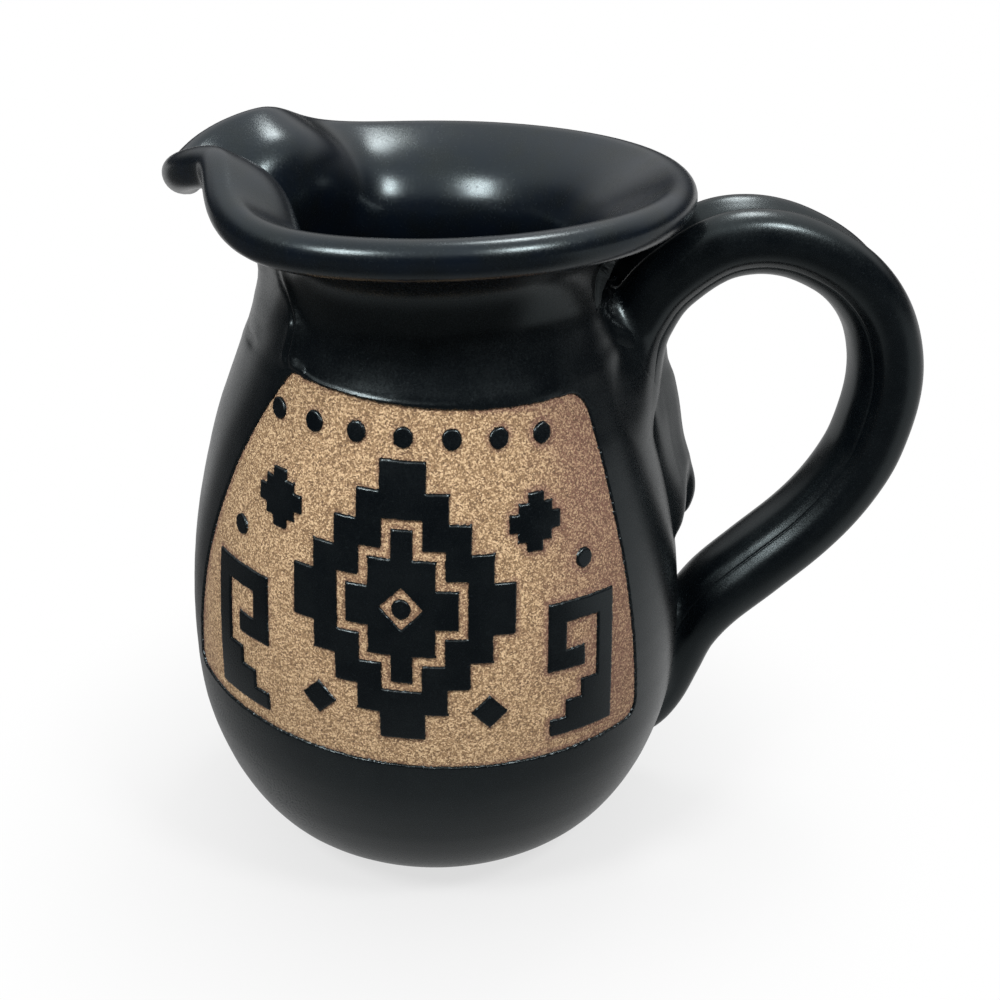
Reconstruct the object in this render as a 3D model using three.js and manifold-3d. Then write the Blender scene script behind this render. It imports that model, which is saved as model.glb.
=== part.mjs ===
// Stoneware pitcher with a rolled rim, a pulled spout, a two-lobed strap handle and a carved panel.
// Millimetres, +Z up. The origin is the centre of the flat foot, on the axis of the thrown pot.
// The handle points to +X, the spout to about -X and the panel to about -Y.

import * as THREE from 'three';
import { mergeVertices } from 'three/addons/utils/BufferGeometryUtils.js';
import Module from 'manifold-3d';

// Outside of the thrown pot, at the face of the glaze
const FOOT_RADIUS = 31;
const HAUNCH_RADIUS = 44.5;
const HAUNCH_HEIGHT = 12.5;
const BELLY_RADIUS = 54.4;
const BELLY_HEIGHT = 52;
const SHOULDER_RADIUS = 46.6;
const SHOULDER_HEIGHT = 98;
const NECK_RADIUS = 36;
const NECK_HEIGHT = 130;
const RIM_RADIUS = 49.5;
const RIM_HEIGHT = 150;
const ROLL_RADIUS = 3.75;

// Walls, glaze and the clearances between touching pieces
const WALL = 4;
const FLOOR = 6;
const GLAZE = 0.5;
const GAP = 0.3;
const FOOT_BEVEL_HEIGHT = 1;
const FOOT_BEVEL_WIDTH = 2.5;

// The pulled spout: where it points, how its cheeks are pinched in and how far its lip is drawn up
const SPOUT_DIRECTION = -99;
const PINCH_DEPTH = 7.4;
const PINCH_ANGLE = 28;
const PINCH_SPREAD_INSIDE = 14;
const PINCH_SPREAD_OUTSIDE = 20;
const LIP_RISE = 8.2;
const LIP_RISE_ANGLE = 27;
const LIP_RISE_SPREAD = 23;
const SPOUT_ROOT_HEIGHT = 124;
const THROAT_TUCK = 1;
const THROAT_ANGLE = 52;

// The strap handle: the middle line of the loop, from the neck round to the belly
const HANDLE_REACH = 97.5;
const HANDLE_REACH_HEIGHT = 102.5;
const HANDLE_TOP_HEIGHT = 134.8;
const HANDLE_TOP_REACH = 67.5;
const HANDLE_ROOT_HEIGHT = 112;
const HANDLE_FOOT_HEIGHT = 43;
const STRAP_WIDTH = 21;
const STRAP_THICKNESS = 13.2;
const CREST_THICKNESS = 15;
const ROOT_WIDTH = 28;
const ROOT_THICKNESS = 19;
const END_THICKNESS = 14.6;
const GROOVE_DEPTH = 2.6;
const GROOVE_SHIFT = 1.4;

// The strap's pressed ends on the wall of the pot
const THUMB_PAD_TOP = 122;
const THUMB_PAD_BOTTOM = 69;
const THUMB_PAD_HEIGHT = 7;
const THUMB_PAD_WIDTH = 21;
const TAIL_TOP = 50;
const TAIL_BOTTOM = 8;
const TAIL_HEIGHT = 12;
const TAIL_WIDTH = 20;

// The bare panel: corner angles from the front, positive towards the handle, and corner heights
const PANEL_TOP_LEFT = -45;
const PANEL_TOP_RIGHT = 41;
const PANEL_BOTTOM_LEFT = -72;
const PANEL_BOTTOM_RIGHT = 46.5;
const PANEL_TOP_LEFT_HEIGHT = 119;
const PANEL_TOP_RIGHT_HEIGHT = 114.6;
const PANEL_BOTTOM_LEFT_HEIGHT = 49.5;
const PANEL_BOTTOM_RIGHT_HEIGHT = 44;
const PANEL_LEFT_BULGE = -66;
const PANEL_LEFT_BULGE_HEIGHT = 101.5;
const PANEL_CORNER = 4;
const WINDOW_DEPTH = 3;

// The figures on the panel: the axis they are drawn about, their slope and their sizes
const DESIGN_DIRECTION = -10;
const DESIGN_SLOPE = 0.05;
const FIGURE_MARGIN = 2.1;
const DIAMOND_BAND = 5;
const DIAMOND_LINE = 1.8;
const DOT_RADIUS = 1.9;
const DOTS_EACH_SIDE = 3;

// How finely the surfaces are cut into facets
const SPOUT_HALF_ANGLE = 66;
const SPOUT_FACETS = 22;
const WALL_FACETS = 28;
const WALL_STEPS = 13;
const INSIDE_STEPS = 9;
const STRAP_STEPS = 34;
const FACET = 6;

const wasm = await Module();
wasm.setup();

const degrees = THREE.MathUtils.degToRad;
const bell = (distance, spread) => Math.exp(-((distance / spread) ** 2));

// Gives the value at x of a smooth line through the stations, which are pairs of x and value.
function smoothThrough(stations, x) {
  const last = stations.length - 1;
  const slope = (i) => {
    const before = stations[Math.max(i - 1, 0)];
    const after = stations[Math.min(i + 1, last)];
    return (after[1] - before[1]) / (after[0] - before[0]);
  };
  let i = 0;
  while (i < last - 1 && x > stations[i + 1][0]) i += 1;
  const span = stations[i + 1][0] - stations[i][0];
  const t = THREE.MathUtils.clamp((x - stations[i][0]) / span, 0, 1);
  const rise = t * t * (3 - 2 * t);
  return stations[i][1] * (1 - rise) + stations[i + 1][1] * rise
    + span * t * (1 - t) * ((1 - t) * slope(i) - t * slope(i + 1));
}

// The outer wall's radius at a height, from the foot to the neck's narrowest place.
const WALL_STATIONS = [
  [0, FOOT_RADIUS],
  [HAUNCH_HEIGHT, HAUNCH_RADIUS],
  [(HAUNCH_HEIGHT + BELLY_HEIGHT) / 2, THREE.MathUtils.lerp(HAUNCH_RADIUS, BELLY_RADIUS, 0.84)],
  [BELLY_HEIGHT, BELLY_RADIUS],
  [(BELLY_HEIGHT + SHOULDER_HEIGHT) / 2, THREE.MathUtils.lerp(SHOULDER_RADIUS, BELLY_RADIUS, 0.72)],
  [SHOULDER_HEIGHT, SHOULDER_RADIUS],
  [(SHOULDER_HEIGHT + NECK_HEIGHT) / 2, THREE.MathUtils.lerp(NECK_RADIUS, SHOULDER_RADIUS, 0.48)],
  [NECK_HEIGHT, NECK_RADIUS],
  [NECK_HEIGHT * 2 - THUMB_PAD_TOP, NECK_RADIUS * 1.04],
];
const wallRadius = (height) => smoothThrough(WALL_STATIONS, height);

// The finished pot's outline, in radius and height, from the foot over the rim to the inner floor.
function potOutline() {
  const rollCentre = new THREE.Vector2(RIM_RADIUS, RIM_HEIGHT - ROLL_RADIUS);
  const rollPoint = (angle) => new THREE.Vector2(Math.cos(degrees(angle)), Math.sin(degrees(angle)))
    .multiplyScalar(ROLL_RADIUS).add(rollCentre);
  const outside = [new THREE.Vector2(wallRadius(FOOT_BEVEL_HEIGHT), FOOT_BEVEL_HEIGHT)];
  for (let i = 1; i <= WALL_STEPS; i += 1) {
    const height = THREE.MathUtils.lerp(FOOT_BEVEL_HEIGHT, NECK_HEIGHT, (i / WALL_STEPS) ** 1.2);
    outside.push(new THREE.Vector2(wallRadius(height), height));
  }
  const flare = new THREE.CubicBezierCurve(
    outside.at(-1),
    new THREE.Vector2(NECK_RADIUS, THREE.MathUtils.lerp(NECK_HEIGHT, RIM_HEIGHT, 0.36)),
    new THREE.Vector2(THREE.MathUtils.lerp(NECK_RADIUS, RIM_RADIUS, 0.36), RIM_HEIGHT - 2.6 * ROLL_RADIUS),
    rollPoint(220),
  );
  outside.push(...flare.getPoints(4).slice(1));
  const roll = [258, 296, 334, 12, 50, 85].map(rollPoint);
  const inside = [];
  const throat = new THREE.CubicBezierCurve(
    rollPoint(118),
    new THREE.Vector2(THREE.MathUtils.lerp(NECK_RADIUS, RIM_RADIUS, 0.44), RIM_HEIGHT - ROLL_RADIUS * 0.93),
    new THREE.Vector2(NECK_RADIUS - WALL, THREE.MathUtils.lerp(NECK_HEIGHT, RIM_HEIGHT, 0.55)),
    new THREE.Vector2(NECK_RADIUS - WALL, NECK_HEIGHT),
  );
  inside.push(...throat.getPoints(5));
  const floorEdge = FLOOR + WALL;
  for (let i = 1; i <= INSIDE_STEPS; i += 1) {
    const height = THREE.MathUtils.lerp(NECK_HEIGHT, floorEdge, i / INSIDE_STEPS);
    const wall = WALL * (1 + 0.5 * (1 - height / NECK_HEIGHT) ** 4);
    inside.push(new THREE.Vector2(wallRadius(height) - wall, height));
  }
  const corner = inside.at(-1);
  inside.push(new THREE.Vector2(corner.x * 0.78, FLOOR + WALL * 0.28));
  inside.push(new THREE.Vector2(corner.x * 0.45, FLOOR));
  return { outside, roll, inside };
}

// Moves an open outline to its own left by a distance, for the faces under the glaze.
function moved(outline, distance) {
  return outline.map((point, i) => {
    const before = outline[Math.max(i - 1, 0)];
    const after = outline[Math.min(i + 1, outline.length - 1)];
    const along = after.clone().sub(before).normalize();
    return new THREE.Vector2(point.x - along.y * distance, point.y + along.x * distance);
  });
}

// Angles of the facets' corners round the pot, closer together at the spout, in degrees from -Y.
function facetAngles() {
  const angles = [];
  for (let i = 0; i < SPOUT_FACETS; i += 1) {
    angles.push(SPOUT_DIRECTION + SPOUT_HALF_ANGLE * (2 * i / SPOUT_FACETS - 1));
  }
  const rest = 360 - 2 * SPOUT_HALF_ANGLE;
  for (let i = 0; i < WALL_FACETS; i += 1) {
    angles.push(SPOUT_DIRECTION + SPOUT_HALF_ANGLE + rest * i / WALL_FACETS);
  }
  return angles;
}

// Places a point of the outline at an angle round the pot, with the spout pulled in it.
function onPot(radius, height, angle) {
  const pulled = THREE.MathUtils.smoothstep(height, SPOUT_ROOT_HEIGHT, RIM_HEIGHT - ROLL_RADIUS);
  const fromSpout = Math.abs(((angle - SPOUT_DIRECTION + 540) % 360) - 180);
  const rimLine = (at) => {
    const away = Math.abs(((at - SPOUT_DIRECTION + 540) % 360) - 180);
    const spread = away < PINCH_ANGLE ? PINCH_SPREAD_INSIDE : PINCH_SPREAD_OUTSIDE;
    const reach = RIM_RADIUS - pulled * PINCH_DEPTH * bell(away - PINCH_ANGLE, spread);
    return new THREE.Vector2(Math.sin(degrees(at)), -Math.cos(degrees(at))).multiplyScalar(reach);
  };
  const across = rimLine(angle + 1).sub(rimLine(angle - 1)).normalize();
  const outward = new THREE.Vector2(across.y, -across.x);
  const underSpout = 1 - THREE.MathUtils.smoothstep(fromSpout, THROAT_ANGLE / 2, THROAT_ANGLE);
  const throatMiddle = THREE.MathUtils.lerp(SHOULDER_HEIGHT, NECK_HEIGHT, 0.8);
  const tuck = THROAT_TUCK * underSpout * bell(height - throatMiddle, (NECK_HEIGHT - SHOULDER_HEIGHT) / 2);
  const plan = rimLine(angle).addScaledVector(outward, radius - RIM_RADIUS - tuck);
  const rise = LIP_RISE * pulled * bell(fromSpout - LIP_RISE_ANGLE, LIP_RISE_SPREAD);
  return new THREE.Vector3(plan.x, plan.y, height + rise);
}

// Joins rings of as many points each into a closed body, with flat ends or closed on itself.
// Every four-sided facet is halved from its lower left corner, so that shells that follow each other
// are halved alike.
function bodyOfRings(rings, closedOnItself = false) {
  const size = rings[0].length;
  const positions = [];
  const faces = [];
  for (const ring of rings) for (const point of ring) positions.push(point.x, point.y, point.z);
  const bands = closedOnItself ? rings.length : rings.length - 1;
  for (let i = 0; i < bands; i += 1) {
    const low = i * size;
    const high = ((i + 1) % rings.length) * size;
    const rising = rings[(i + 1) % rings.length][0].z >= rings[i][0].z;
    for (let j = 0; j < size; j += 1) {
      const next = (j + 1) % size;
      if (rising) faces.push(low + j, low + next, high + next, low + j, high + next, high + j);
      else faces.push(low + j, low + next, high + j, low + next, high + next, high + j);
    }
  }
  if (!closedOnItself) {
    const ends = [[rings[0], 0, true], [rings.at(-1), (rings.length - 1) * size, false]];
    for (const [ring, start, flip] of ends) {
      const middle = ring.reduce((sum, point) => sum.add(point), new THREE.Vector3()).divideScalar(size);
      const hub = positions.length / 3;
      positions.push(middle.x, middle.y, middle.z);
      for (let j = 0; j < size; j += 1) {
        const next = (j + 1) % size;
        if (flip) faces.push(hub, start + next, start + j);
        else faces.push(hub, start + j, start + next);
      }
    }
  }
  const geometry = new THREE.BufferGeometry();
  geometry.setAttribute('position', new THREE.Float32BufferAttribute(positions, 3));
  geometry.setIndex(faces);
  return facingOut(geometry);
}

// Turns a closed body's faces round if they point inwards.
function facingOut(geometry) {
  const at = geometry.getAttribute('position');
  const index = geometry.getIndex().array;
  const corner = (i) => new THREE.Vector3().fromBufferAttribute(at, index[i]);
  let volume = 0;
  for (let i = 0; i < index.length; i += 3) {
    volume += corner(i).dot(corner(i + 1).cross(corner(i + 2)));
  }
  if (volume < 0) {
    for (let i = 0; i < index.length; i += 3) [index[i], index[i + 1]] = [index[i + 1], index[i]];
  }
  return geometry;
}

// Turns a closed geometry into a solid for cutting, and a solid back into a geometry.
function toSolid(geometry) {
  const bare = geometry.clone();
  for (const name of Object.keys(bare.attributes)) if (name !== 'position') bare.deleteAttribute(name);
  const merged = mergeVertices(bare, 1e-4);
  const mesh = new wasm.Mesh({
    numProp: 3,
    vertProperties: new Float32Array(merged.getAttribute('position').array),
    triVerts: new Uint32Array(merged.getIndex().array),
  });
  return new wasm.Manifold(mesh);
}

function fromSolid(solid) {
  const mesh = solid.getMesh();
  const geometry = new THREE.BufferGeometry();
  geometry.setAttribute('position', new THREE.Float32BufferAttribute(mesh.vertProperties, 3));
  geometry.setIndex([...mesh.triVerts]);
  return geometry;
}

const potRing = (point) => facetAngles().map((angle) => onPot(point.x, point.y, angle));

// The thrown pot in bare clay, with room left for the glaze on all but its foot.
function clayBody() {
  const { outside, roll, inside } = potOutline();
  const outline = moved([...outside, ...roll, ...inside], GLAZE + GAP);
  const foot = outline[0];
  const sole = new THREE.Vector2(foot.x - FOOT_BEVEL_WIDTH, 0);
  return bodyOfRings([sole, ...outline].map(potRing));
}

// The solid that the handle's pieces are cut by: the glazed pot, grown by the clearance.
function potSpace() {
  const { outside, roll } = potOutline();
  const outline = moved([...outside, ...roll], -GAP);
  const below = new THREE.Vector2(outline[0].x, -GAP);
  return toSolid(bodyOfRings([below, ...outline].map(potRing)));
}

// A shell of glaze between an outline and the same outline moved inwards by the glaze's thickness.
function outerGlazeShell() {
  const { outside, roll } = potOutline();
  const whole = [...outside, roll[0]];
  const face = whole.slice(0, -1);
  const back = moved(whole, GLAZE).slice(0, -1);
  return bodyOfRings([...face, ...back.reverse()].map(potRing), true);
}

function linerGlaze() {
  const { outside, roll, inside } = potOutline();
  const lap = roll[0].clone().lerp(outside.at(-1), 0.6);
  const whole = [lap, ...roll, ...inside];
  const back = moved(whole, GLAZE);
  return bodyOfRings([...whole.reverse(), ...back].map(potRing));
}

// Splits every edge that is longer than a limit, with neighbours kept joined, until none is left.
function refined(geometry, limit) {
  const points = [];
  const at = geometry.getAttribute('position');
  for (let i = 0; i < at.count; i += 1) points.push(new THREE.Vector3().fromBufferAttribute(at, i));
  let faces = [];
  const index = geometry.getIndex().array;
  for (let i = 0; i < index.length; i += 3) faces.push([index[i], index[i + 1], index[i + 2]]);
  let split = true;
  while (split) {
    const middles = new Map();
    const middle = (a, b) => {
      if (points[a].distanceTo(points[b]) <= limit) return null;
      const key = a < b ? `${a} ${b}` : `${b} ${a}`;
      if (!middles.has(key)) middles.set(key, points.push(points[a].clone().lerp(points[b], 0.5)) - 1);
      return middles.get(key);
    };
    faces = faces.flatMap((face) => splitFace(face, middle, points));
    split = middles.size > 0;
  }
  const result = new THREE.BufferGeometry();
  result.setAttribute('position', new THREE.Float32BufferAttribute(points.flatMap((p) => p.toArray()), 3));
  result.setIndex(faces.flat());
  return result;
}

// Cuts one triangle at the middles of its long edges.
function splitFace(face, middle, points) {
  const cuts = [0, 1, 2].map((i) => middle(face[i], face[(i + 1) % 3]));
  const count = cuts.filter((cut) => cut !== null).length;
  if (count === 0) return [face];
  if (count === 3) {
    const [a, b, c] = face;
    const [ab, bc, ca] = cuts;
    return [[a, ab, ca], [ab, b, bc], [ca, bc, c], [ab, bc, ca]];
  }
  const only = cuts.findIndex((cut) => (count === 1 ? cut !== null : cut === null));
  const turn = count === 1 ? only : (only + 1) % 3;
  const [a, b, c] = [0, 1, 2].map((i) => face[(i + turn) % 3]);
  const [ab, bc] = [0, 1].map((i) => cuts[(i + turn) % 3]);
  if (count === 1) return [[a, ab, c], [ab, b, c]];
  const shorter = points[a].distanceTo(points[bc]) < points[ab].distanceTo(points[c]);
  const rest = shorter ? [[a, ab, bc], [a, bc, c]] : [[a, ab, c], [ab, bc, c]];
  return [[ab, b, bc], ...rest];
}

// Bends a flat outline, drawn in millimetres along and up the wall, onto the pot as a slab of glaze.
function slabOnWall(shape, inner, outer, place) {
  const flat = new THREE.ExtrudeGeometry(shape, { depth: 1, bevelEnabled: false, curveSegments: 5 });
  flat.deleteAttribute('normal');
  flat.deleteAttribute('uv');
  const fine = refined(mergeVertices(flat, 1e-4), FACET);
  const at = fine.getAttribute('position');
  for (let i = 0; i < at.count; i += 1) {
    const { angle, height } = place(at.getX(i), at.getY(i));
    const depth = THREE.MathUtils.lerp(inner, outer, at.getZ(i));
    const point = onPot(wallRadius(height) + depth, height, angle);
    at.setXYZ(i, point.x, point.y, point.z);
  }
  return facingOut(fine);
}

// The panel's window is drawn in degrees round the pot and millimetres up it.
function windowShape() {
  const shape = new THREE.Shape();
  const corner = PANEL_CORNER;
  const across = (share) => THREE.MathUtils.lerp(PANEL_BOTTOM_LEFT, PANEL_BOTTOM_RIGHT, share);
  const acrossTop = (share) => THREE.MathUtils.lerp(PANEL_TOP_LEFT, PANEL_TOP_RIGHT, share);
  shape.moveTo(PANEL_BOTTOM_LEFT + corner / 2, PANEL_BOTTOM_LEFT_HEIGHT);
  shape.bezierCurveTo(
    across(0.35), PANEL_BOTTOM_LEFT_HEIGHT - corner / 3,
    across(0.5), PANEL_BOTTOM_RIGHT_HEIGHT,
    PANEL_BOTTOM_RIGHT - corner, PANEL_BOTTOM_RIGHT_HEIGHT,
  );
  shape.quadraticCurveTo(
    PANEL_BOTTOM_RIGHT, PANEL_BOTTOM_RIGHT_HEIGHT,
    PANEL_BOTTOM_RIGHT, PANEL_BOTTOM_RIGHT_HEIGHT + corner,
  );
  shape.lineTo(PANEL_TOP_RIGHT + corner / 2, PANEL_TOP_RIGHT_HEIGHT - corner);
  shape.quadraticCurveTo(
    PANEL_TOP_RIGHT, PANEL_TOP_RIGHT_HEIGHT,
    PANEL_TOP_RIGHT - corner, PANEL_TOP_RIGHT_HEIGHT,
  );
  shape.bezierCurveTo(
    acrossTop(0.6), PANEL_TOP_RIGHT_HEIGHT,
    acrossTop(0.4), PANEL_TOP_RIGHT_HEIGHT + corner / 3,
    PANEL_TOP_LEFT, PANEL_TOP_LEFT_HEIGHT,
  );
  shape.quadraticCurveTo(
    PANEL_LEFT_BULGE, PANEL_LEFT_BULGE_HEIGHT,
    PANEL_BOTTOM_LEFT, PANEL_BOTTOM_LEFT_HEIGHT + corner / 2,
  );
  shape.closePath();
  return shape;
}

// A staircase outline about a centre, from pairs of half width and half height, widest first.
function steppedPath(path, levels, middleHeight) {
  const corners = [];
  for (const [i, [width, height]] of levels.entries()) {
    corners.push([width, i === 0 ? 0 : levels[i - 1][1]], [width, height]);
  }
  const right = corners.slice(1);
  const all = [
    ...right,
    ...right.map(([x, y]) => [-x, y]).reverse(),
    ...right.map(([x, y]) => [-x, -y]),
    ...right.map(([x, y]) => [x, -y]).reverse(),
  ];
  path.setFromPoints(all.map(([x, y]) => new THREE.Vector2(x, middleHeight + y)));
  return path;
}

// Where the figures stand: all of it follows from the panel's heights, the margin and the dots.
const STEPS = 5;
const FIRST_STEP = 0.91;
const BASE_LINE = (PANEL_BOTTOM_LEFT_HEIGHT + PANEL_BOTTOM_RIGHT_HEIGHT) / 2;
const TOP_LINE = Math.min(PANEL_TOP_LEFT_HEIGHT, PANEL_TOP_RIGHT_HEIGHT);
const DOT_ROW_LINE = TOP_LINE - FIGURE_MARGIN - DOT_RADIUS;
const DIAMOND_TOP = DOT_ROW_LINE - DOT_RADIUS - FIGURE_MARGIN;
const DIAMOND_BOTTOM = BASE_LINE + 2.5 * FIGURE_MARGIN;
const DIAMOND_LINE_MIDDLE = (DIAMOND_TOP + DIAMOND_BOTTOM) / 2;
const DIAMOND_HALF_HEIGHT = (DIAMOND_TOP - DIAMOND_BOTTOM) / 2;
const STEP_RISE = DIAMOND_HALF_HEIGHT / (STEPS - 1 + FIRST_STEP);
const STEP_RUN = STEP_RISE * 0.8;
const DIAMOND_HALF_WIDTH = STEP_RUN * STEPS;
const UPPER_SPACE = DOT_ROW_LINE - DIAMOND_LINE_MIDDLE;

// The diamond's staircase, drawn in by an amount on every side, without the steps that vanish.
function diamondLevels(inset) {
  const levels = [];
  for (let step = 0; step < STEPS; step += 1) {
    const width = STEP_RUN * (STEPS - step) - inset;
    const height = STEP_RISE * (step + FIRST_STEP) - inset;
    if (width > STEP_RUN / 5 && height > STEP_RISE / 5) levels.push([width, height]);
  }
  return levels;
}

const squareOnPoint = (path, x, y, half) => path.setFromPoints(
  [[half, 0], [0, half], [-half, 0], [0, -half]].map(([dx, dy]) => new THREE.Vector2(x + dx, y + dy)),
);

function diamondRing() {
  const ring = steppedPath(new THREE.Shape(), diamondLevels(0), DIAMOND_LINE_MIDDLE);
  ring.holes.push(steppedPath(new THREE.Path(), diamondLevels(DIAMOND_BAND), DIAMOND_LINE_MIDDLE));
  return ring;
}

function diamondHeart() {
  const heart = steppedPath(
    new THREE.Shape(), diamondLevels(DIAMOND_BAND + DIAMOND_LINE), DIAMOND_LINE_MIDDLE,
  );
  const eye = DOT_RADIUS * 1.25 + DIAMOND_LINE;
  heart.holes.push(squareOnPoint(new THREE.Path(), 0, DIAMOND_LINE_MIDDLE, eye));
  return heart;
}

function dot(x, y) {
  const shape = new THREE.Shape();
  shape.absarc(x, y, DOT_RADIUS, 0, Math.PI * 2);
  return shape;
}

// A stepped fret: a staircase whose last riser turns over into a square hook. It is drawn in units,
// nine of which reach from the foot of the panel to the middle of the diamond.
function fret(side) {
  const foot = BASE_LINE + 1.5 * FIGURE_MARGIN;
  const unit = (DIAMOND_LINE_MIDDLE - foot) / 9.2;
  const inner = DIAMOND_HALF_WIDTH + 1.8 * FIGURE_MARGIN;
  const corners = [
    [1.2, 0], [6, 0], [6, 9], [1, 9], [1, 4.6], [3.7, 4.6], [3.7, 5.9], [2.3, 5.9],
    [2.3, 7.7], [4.7, 7.7], [4.7, 3.6], [3.5, 3.6], [3.5, 2.4], [2.35, 2.4], [2.35, 1.2], [1.2, 1.2],
  ];
  return new THREE.Shape(corners.map(
    ([x, y]) => new THREE.Vector2(side * (inner + x * unit), foot + y * unit),
  ));
}

// A stepped cross of equal arms.
function cross(side) {
  const unit = UPPER_SPACE / 15;
  const levels = [[2.6, 0.8], [1.7, 1.7], [0.8, 2.6]].map(([x, y]) => [x * unit, y * unit]);
  const shape = steppedPath(new THREE.Shape(), levels, DIAMOND_LINE_MIDDLE + UPPER_SPACE / 2);
  const offset = side * DIAMOND_HALF_WIDTH * 1.17;
  return new THREE.Shape(shape.getPoints().map((p) => new THREE.Vector2(p.x + offset, p.y)));
}

function figures() {
  const all = {
    diamond_ring: diamondRing(),
    diamond_heart: diamondHeart(),
    diamond_eye: dot(0, DIAMOND_LINE_MIDDLE),
  };
  for (const [name, side] of [['left', -1], ['right', 1]]) {
    all[`fret_${name}`] = fret(side);
    all[`cross_${name}`] = cross(side);
    all[`side_dot_${name}`] = dot(
      side * DIAMOND_HALF_WIDTH * 1.68, DIAMOND_LINE_MIDDLE + UPPER_SPACE * 0.22,
    );
    all[`small_diamond_${name}`] = squareOnPoint(
      new THREE.Shape(),
      side * DIAMOND_HALF_WIDTH * 0.77,
      DIAMOND_LINE_MIDDLE - DIAMOND_HALF_HEIGHT * 0.78,
      STEP_RISE * 0.65,
    );
  }
  const rowLength = degrees(PANEL_TOP_RIGHT - PANEL_TOP_LEFT) * wallRadius(DOT_ROW_LINE);
  const pitch = rowLength / (2 * DOTS_EACH_SIDE + 1);
  for (let i = -DOTS_EACH_SIDE; i <= DOTS_EACH_SIDE; i += 1) {
    all[`row_dot_${i + DOTS_EACH_SIDE + 1}`] = dot(i * pitch, DOT_ROW_LINE);
  }
  return all;
}

// Where a point of the drawing lies on the pot: along the wall by true length, sloped as a whole.
function onDesign(along, up) {
  const height = up - DESIGN_SLOPE * along;
  const angle = DESIGN_DIRECTION + THREE.MathUtils.radToDeg(along / wallRadius(height));
  return { angle, height };
}

// The middle line of the strap, in the plane of the handle, as reach from the axis and height.
function strapLine() {
  const rootReach = wallRadius(HANDLE_ROOT_HEIGHT) - WALL;
  const footReach = wallRadius(HANDLE_FOOT_HEIGHT) - WALL;
  const arch = HANDLE_TOP_HEIGHT - HANDLE_ROOT_HEIGHT;
  const drop = HANDLE_REACH_HEIGHT - HANDLE_FOOT_HEIGHT;
  const out = HANDLE_REACH - HANDLE_TOP_REACH;
  const points = [
    [rootReach - WALL / 2, HANDLE_ROOT_HEIGHT - arch * 0.4],
    [rootReach + (HANDLE_TOP_REACH - rootReach) * 0.22, HANDLE_ROOT_HEIGHT + arch * 0.46],
    [rootReach + (HANDLE_TOP_REACH - rootReach) * 0.55, HANDLE_ROOT_HEIGHT + arch * 0.86],
    [HANDLE_TOP_REACH, HANDLE_TOP_HEIGHT],
    [HANDLE_TOP_REACH + out * 0.55, HANDLE_TOP_HEIGHT - arch * 0.22],
    [HANDLE_TOP_REACH + out * 0.9, HANDLE_REACH_HEIGHT + (HANDLE_TOP_HEIGHT - HANDLE_REACH_HEIGHT) * 0.45],
    [HANDLE_REACH, HANDLE_REACH_HEIGHT],
    [HANDLE_REACH - out * 0.11, HANDLE_REACH_HEIGHT - drop * 0.26],
    [HANDLE_REACH - out * 0.38, HANDLE_REACH_HEIGHT - drop * 0.48],
    [HANDLE_REACH - out * 0.81, HANDLE_REACH_HEIGHT - drop * 0.71],
    [footReach + WALL * 2, HANDLE_FOOT_HEIGHT + drop * 0.1],
    [footReach - WALL / 2, HANDLE_FOOT_HEIGHT - drop * 0.03],
  ];
  return new THREE.SplineCurve(points.map(([reach, height]) => new THREE.Vector2(reach, height)));
}

// The strap's section, as distance out from the middle line and distance across it: two round
// lobes with a groove between them outside, and a flatter band between two creases inside.
function strapSection(width, thickness, grow) {
  const half = width / 2 + grow;
  const out = thickness / 2 + grow;
  return [
    [out, -0.52], [out * 0.88, -0.81], [out * 0.45, -0.97], [-out * 0.1, -1], [-out * 0.5, -0.9],
    [-out * 0.66, -0.7], [-out * 0.9, -0.5], [-out, -0.2], [-out, 0.2], [-out * 0.9, 0.5],
    [-out * 0.66, 0.7], [-out * 0.5, 0.9], [-out * 0.1, 1], [out * 0.45, 0.97], [out * 0.88, 0.81],
    [out, 0.56], [out - GROOVE_DEPTH * 0.6, 0.34], [out - GROOVE_DEPTH, GROOVE_SHIFT / half],
    [out - GROOVE_DEPTH * 0.6, -0.24],
  ].map(([away, across]) => [away, across * half]);
}

function strapBody(grow) {
  const line = strapLine();
  const thicknesses = [
    [0, ROOT_THICKNESS],
    [0.25, CREST_THICKNESS],
    [0.45, STRAP_THICKNESS],
    [0.8, STRAP_THICKNESS],
    [1, END_THICKNESS],
  ];
  const rings = [];
  for (let i = 0; i <= STRAP_STEPS; i += 1) {
    const along = i / STRAP_STEPS;
    const at = line.getPointAt(along);
    const ahead = line.getTangentAt(along);
    const rooted = bell(along, 0.13);
    const width = THREE.MathUtils.lerp(STRAP_WIDTH, ROOT_WIDTH, rooted);
    const thickness = smoothThrough(thicknesses, along);
    rings.push(strapSection(width, thickness, grow).map(([away, across]) => new THREE.Vector3(
      at.x - ahead.y * away,
      across,
      at.y + ahead.x * away,
    )));
  }
  return toSolid(bodyOfRings(rings));
}

// A pad of clay pressed on the wall at the handle's side: stations of height, how far the pad
// stands off the wall and how wide it is, as shares, from the bottom up.
function wallPad(stations, standOff, width, crestShift) {
  const steps = [-1, -0.75, -0.45, -0.15, 0.15, 0.45, 0.75, 1];
  const rings = stations.map(([height, off, wide]) => {
    const front = steps.map((across) => {
      const y = across * wide * width / 2;
      const crest = Math.max(0, 1 - Math.abs(across - crestShift) ** 2.4);
      const wall = Math.sqrt(Math.max(wallRadius(height) ** 2 - y * y, 1));
      return new THREE.Vector3(wall + off * standOff * crest - GAP, y, height);
    });
    const depth = wallRadius(height) - 2 * WALL;
    const back = [...front].reverse().map((p) => new THREE.Vector3(depth, p.y * 0.9, height));
    return [...front, ...back];
  });
  return toSolid(bodyOfRings(rings));
}

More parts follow.
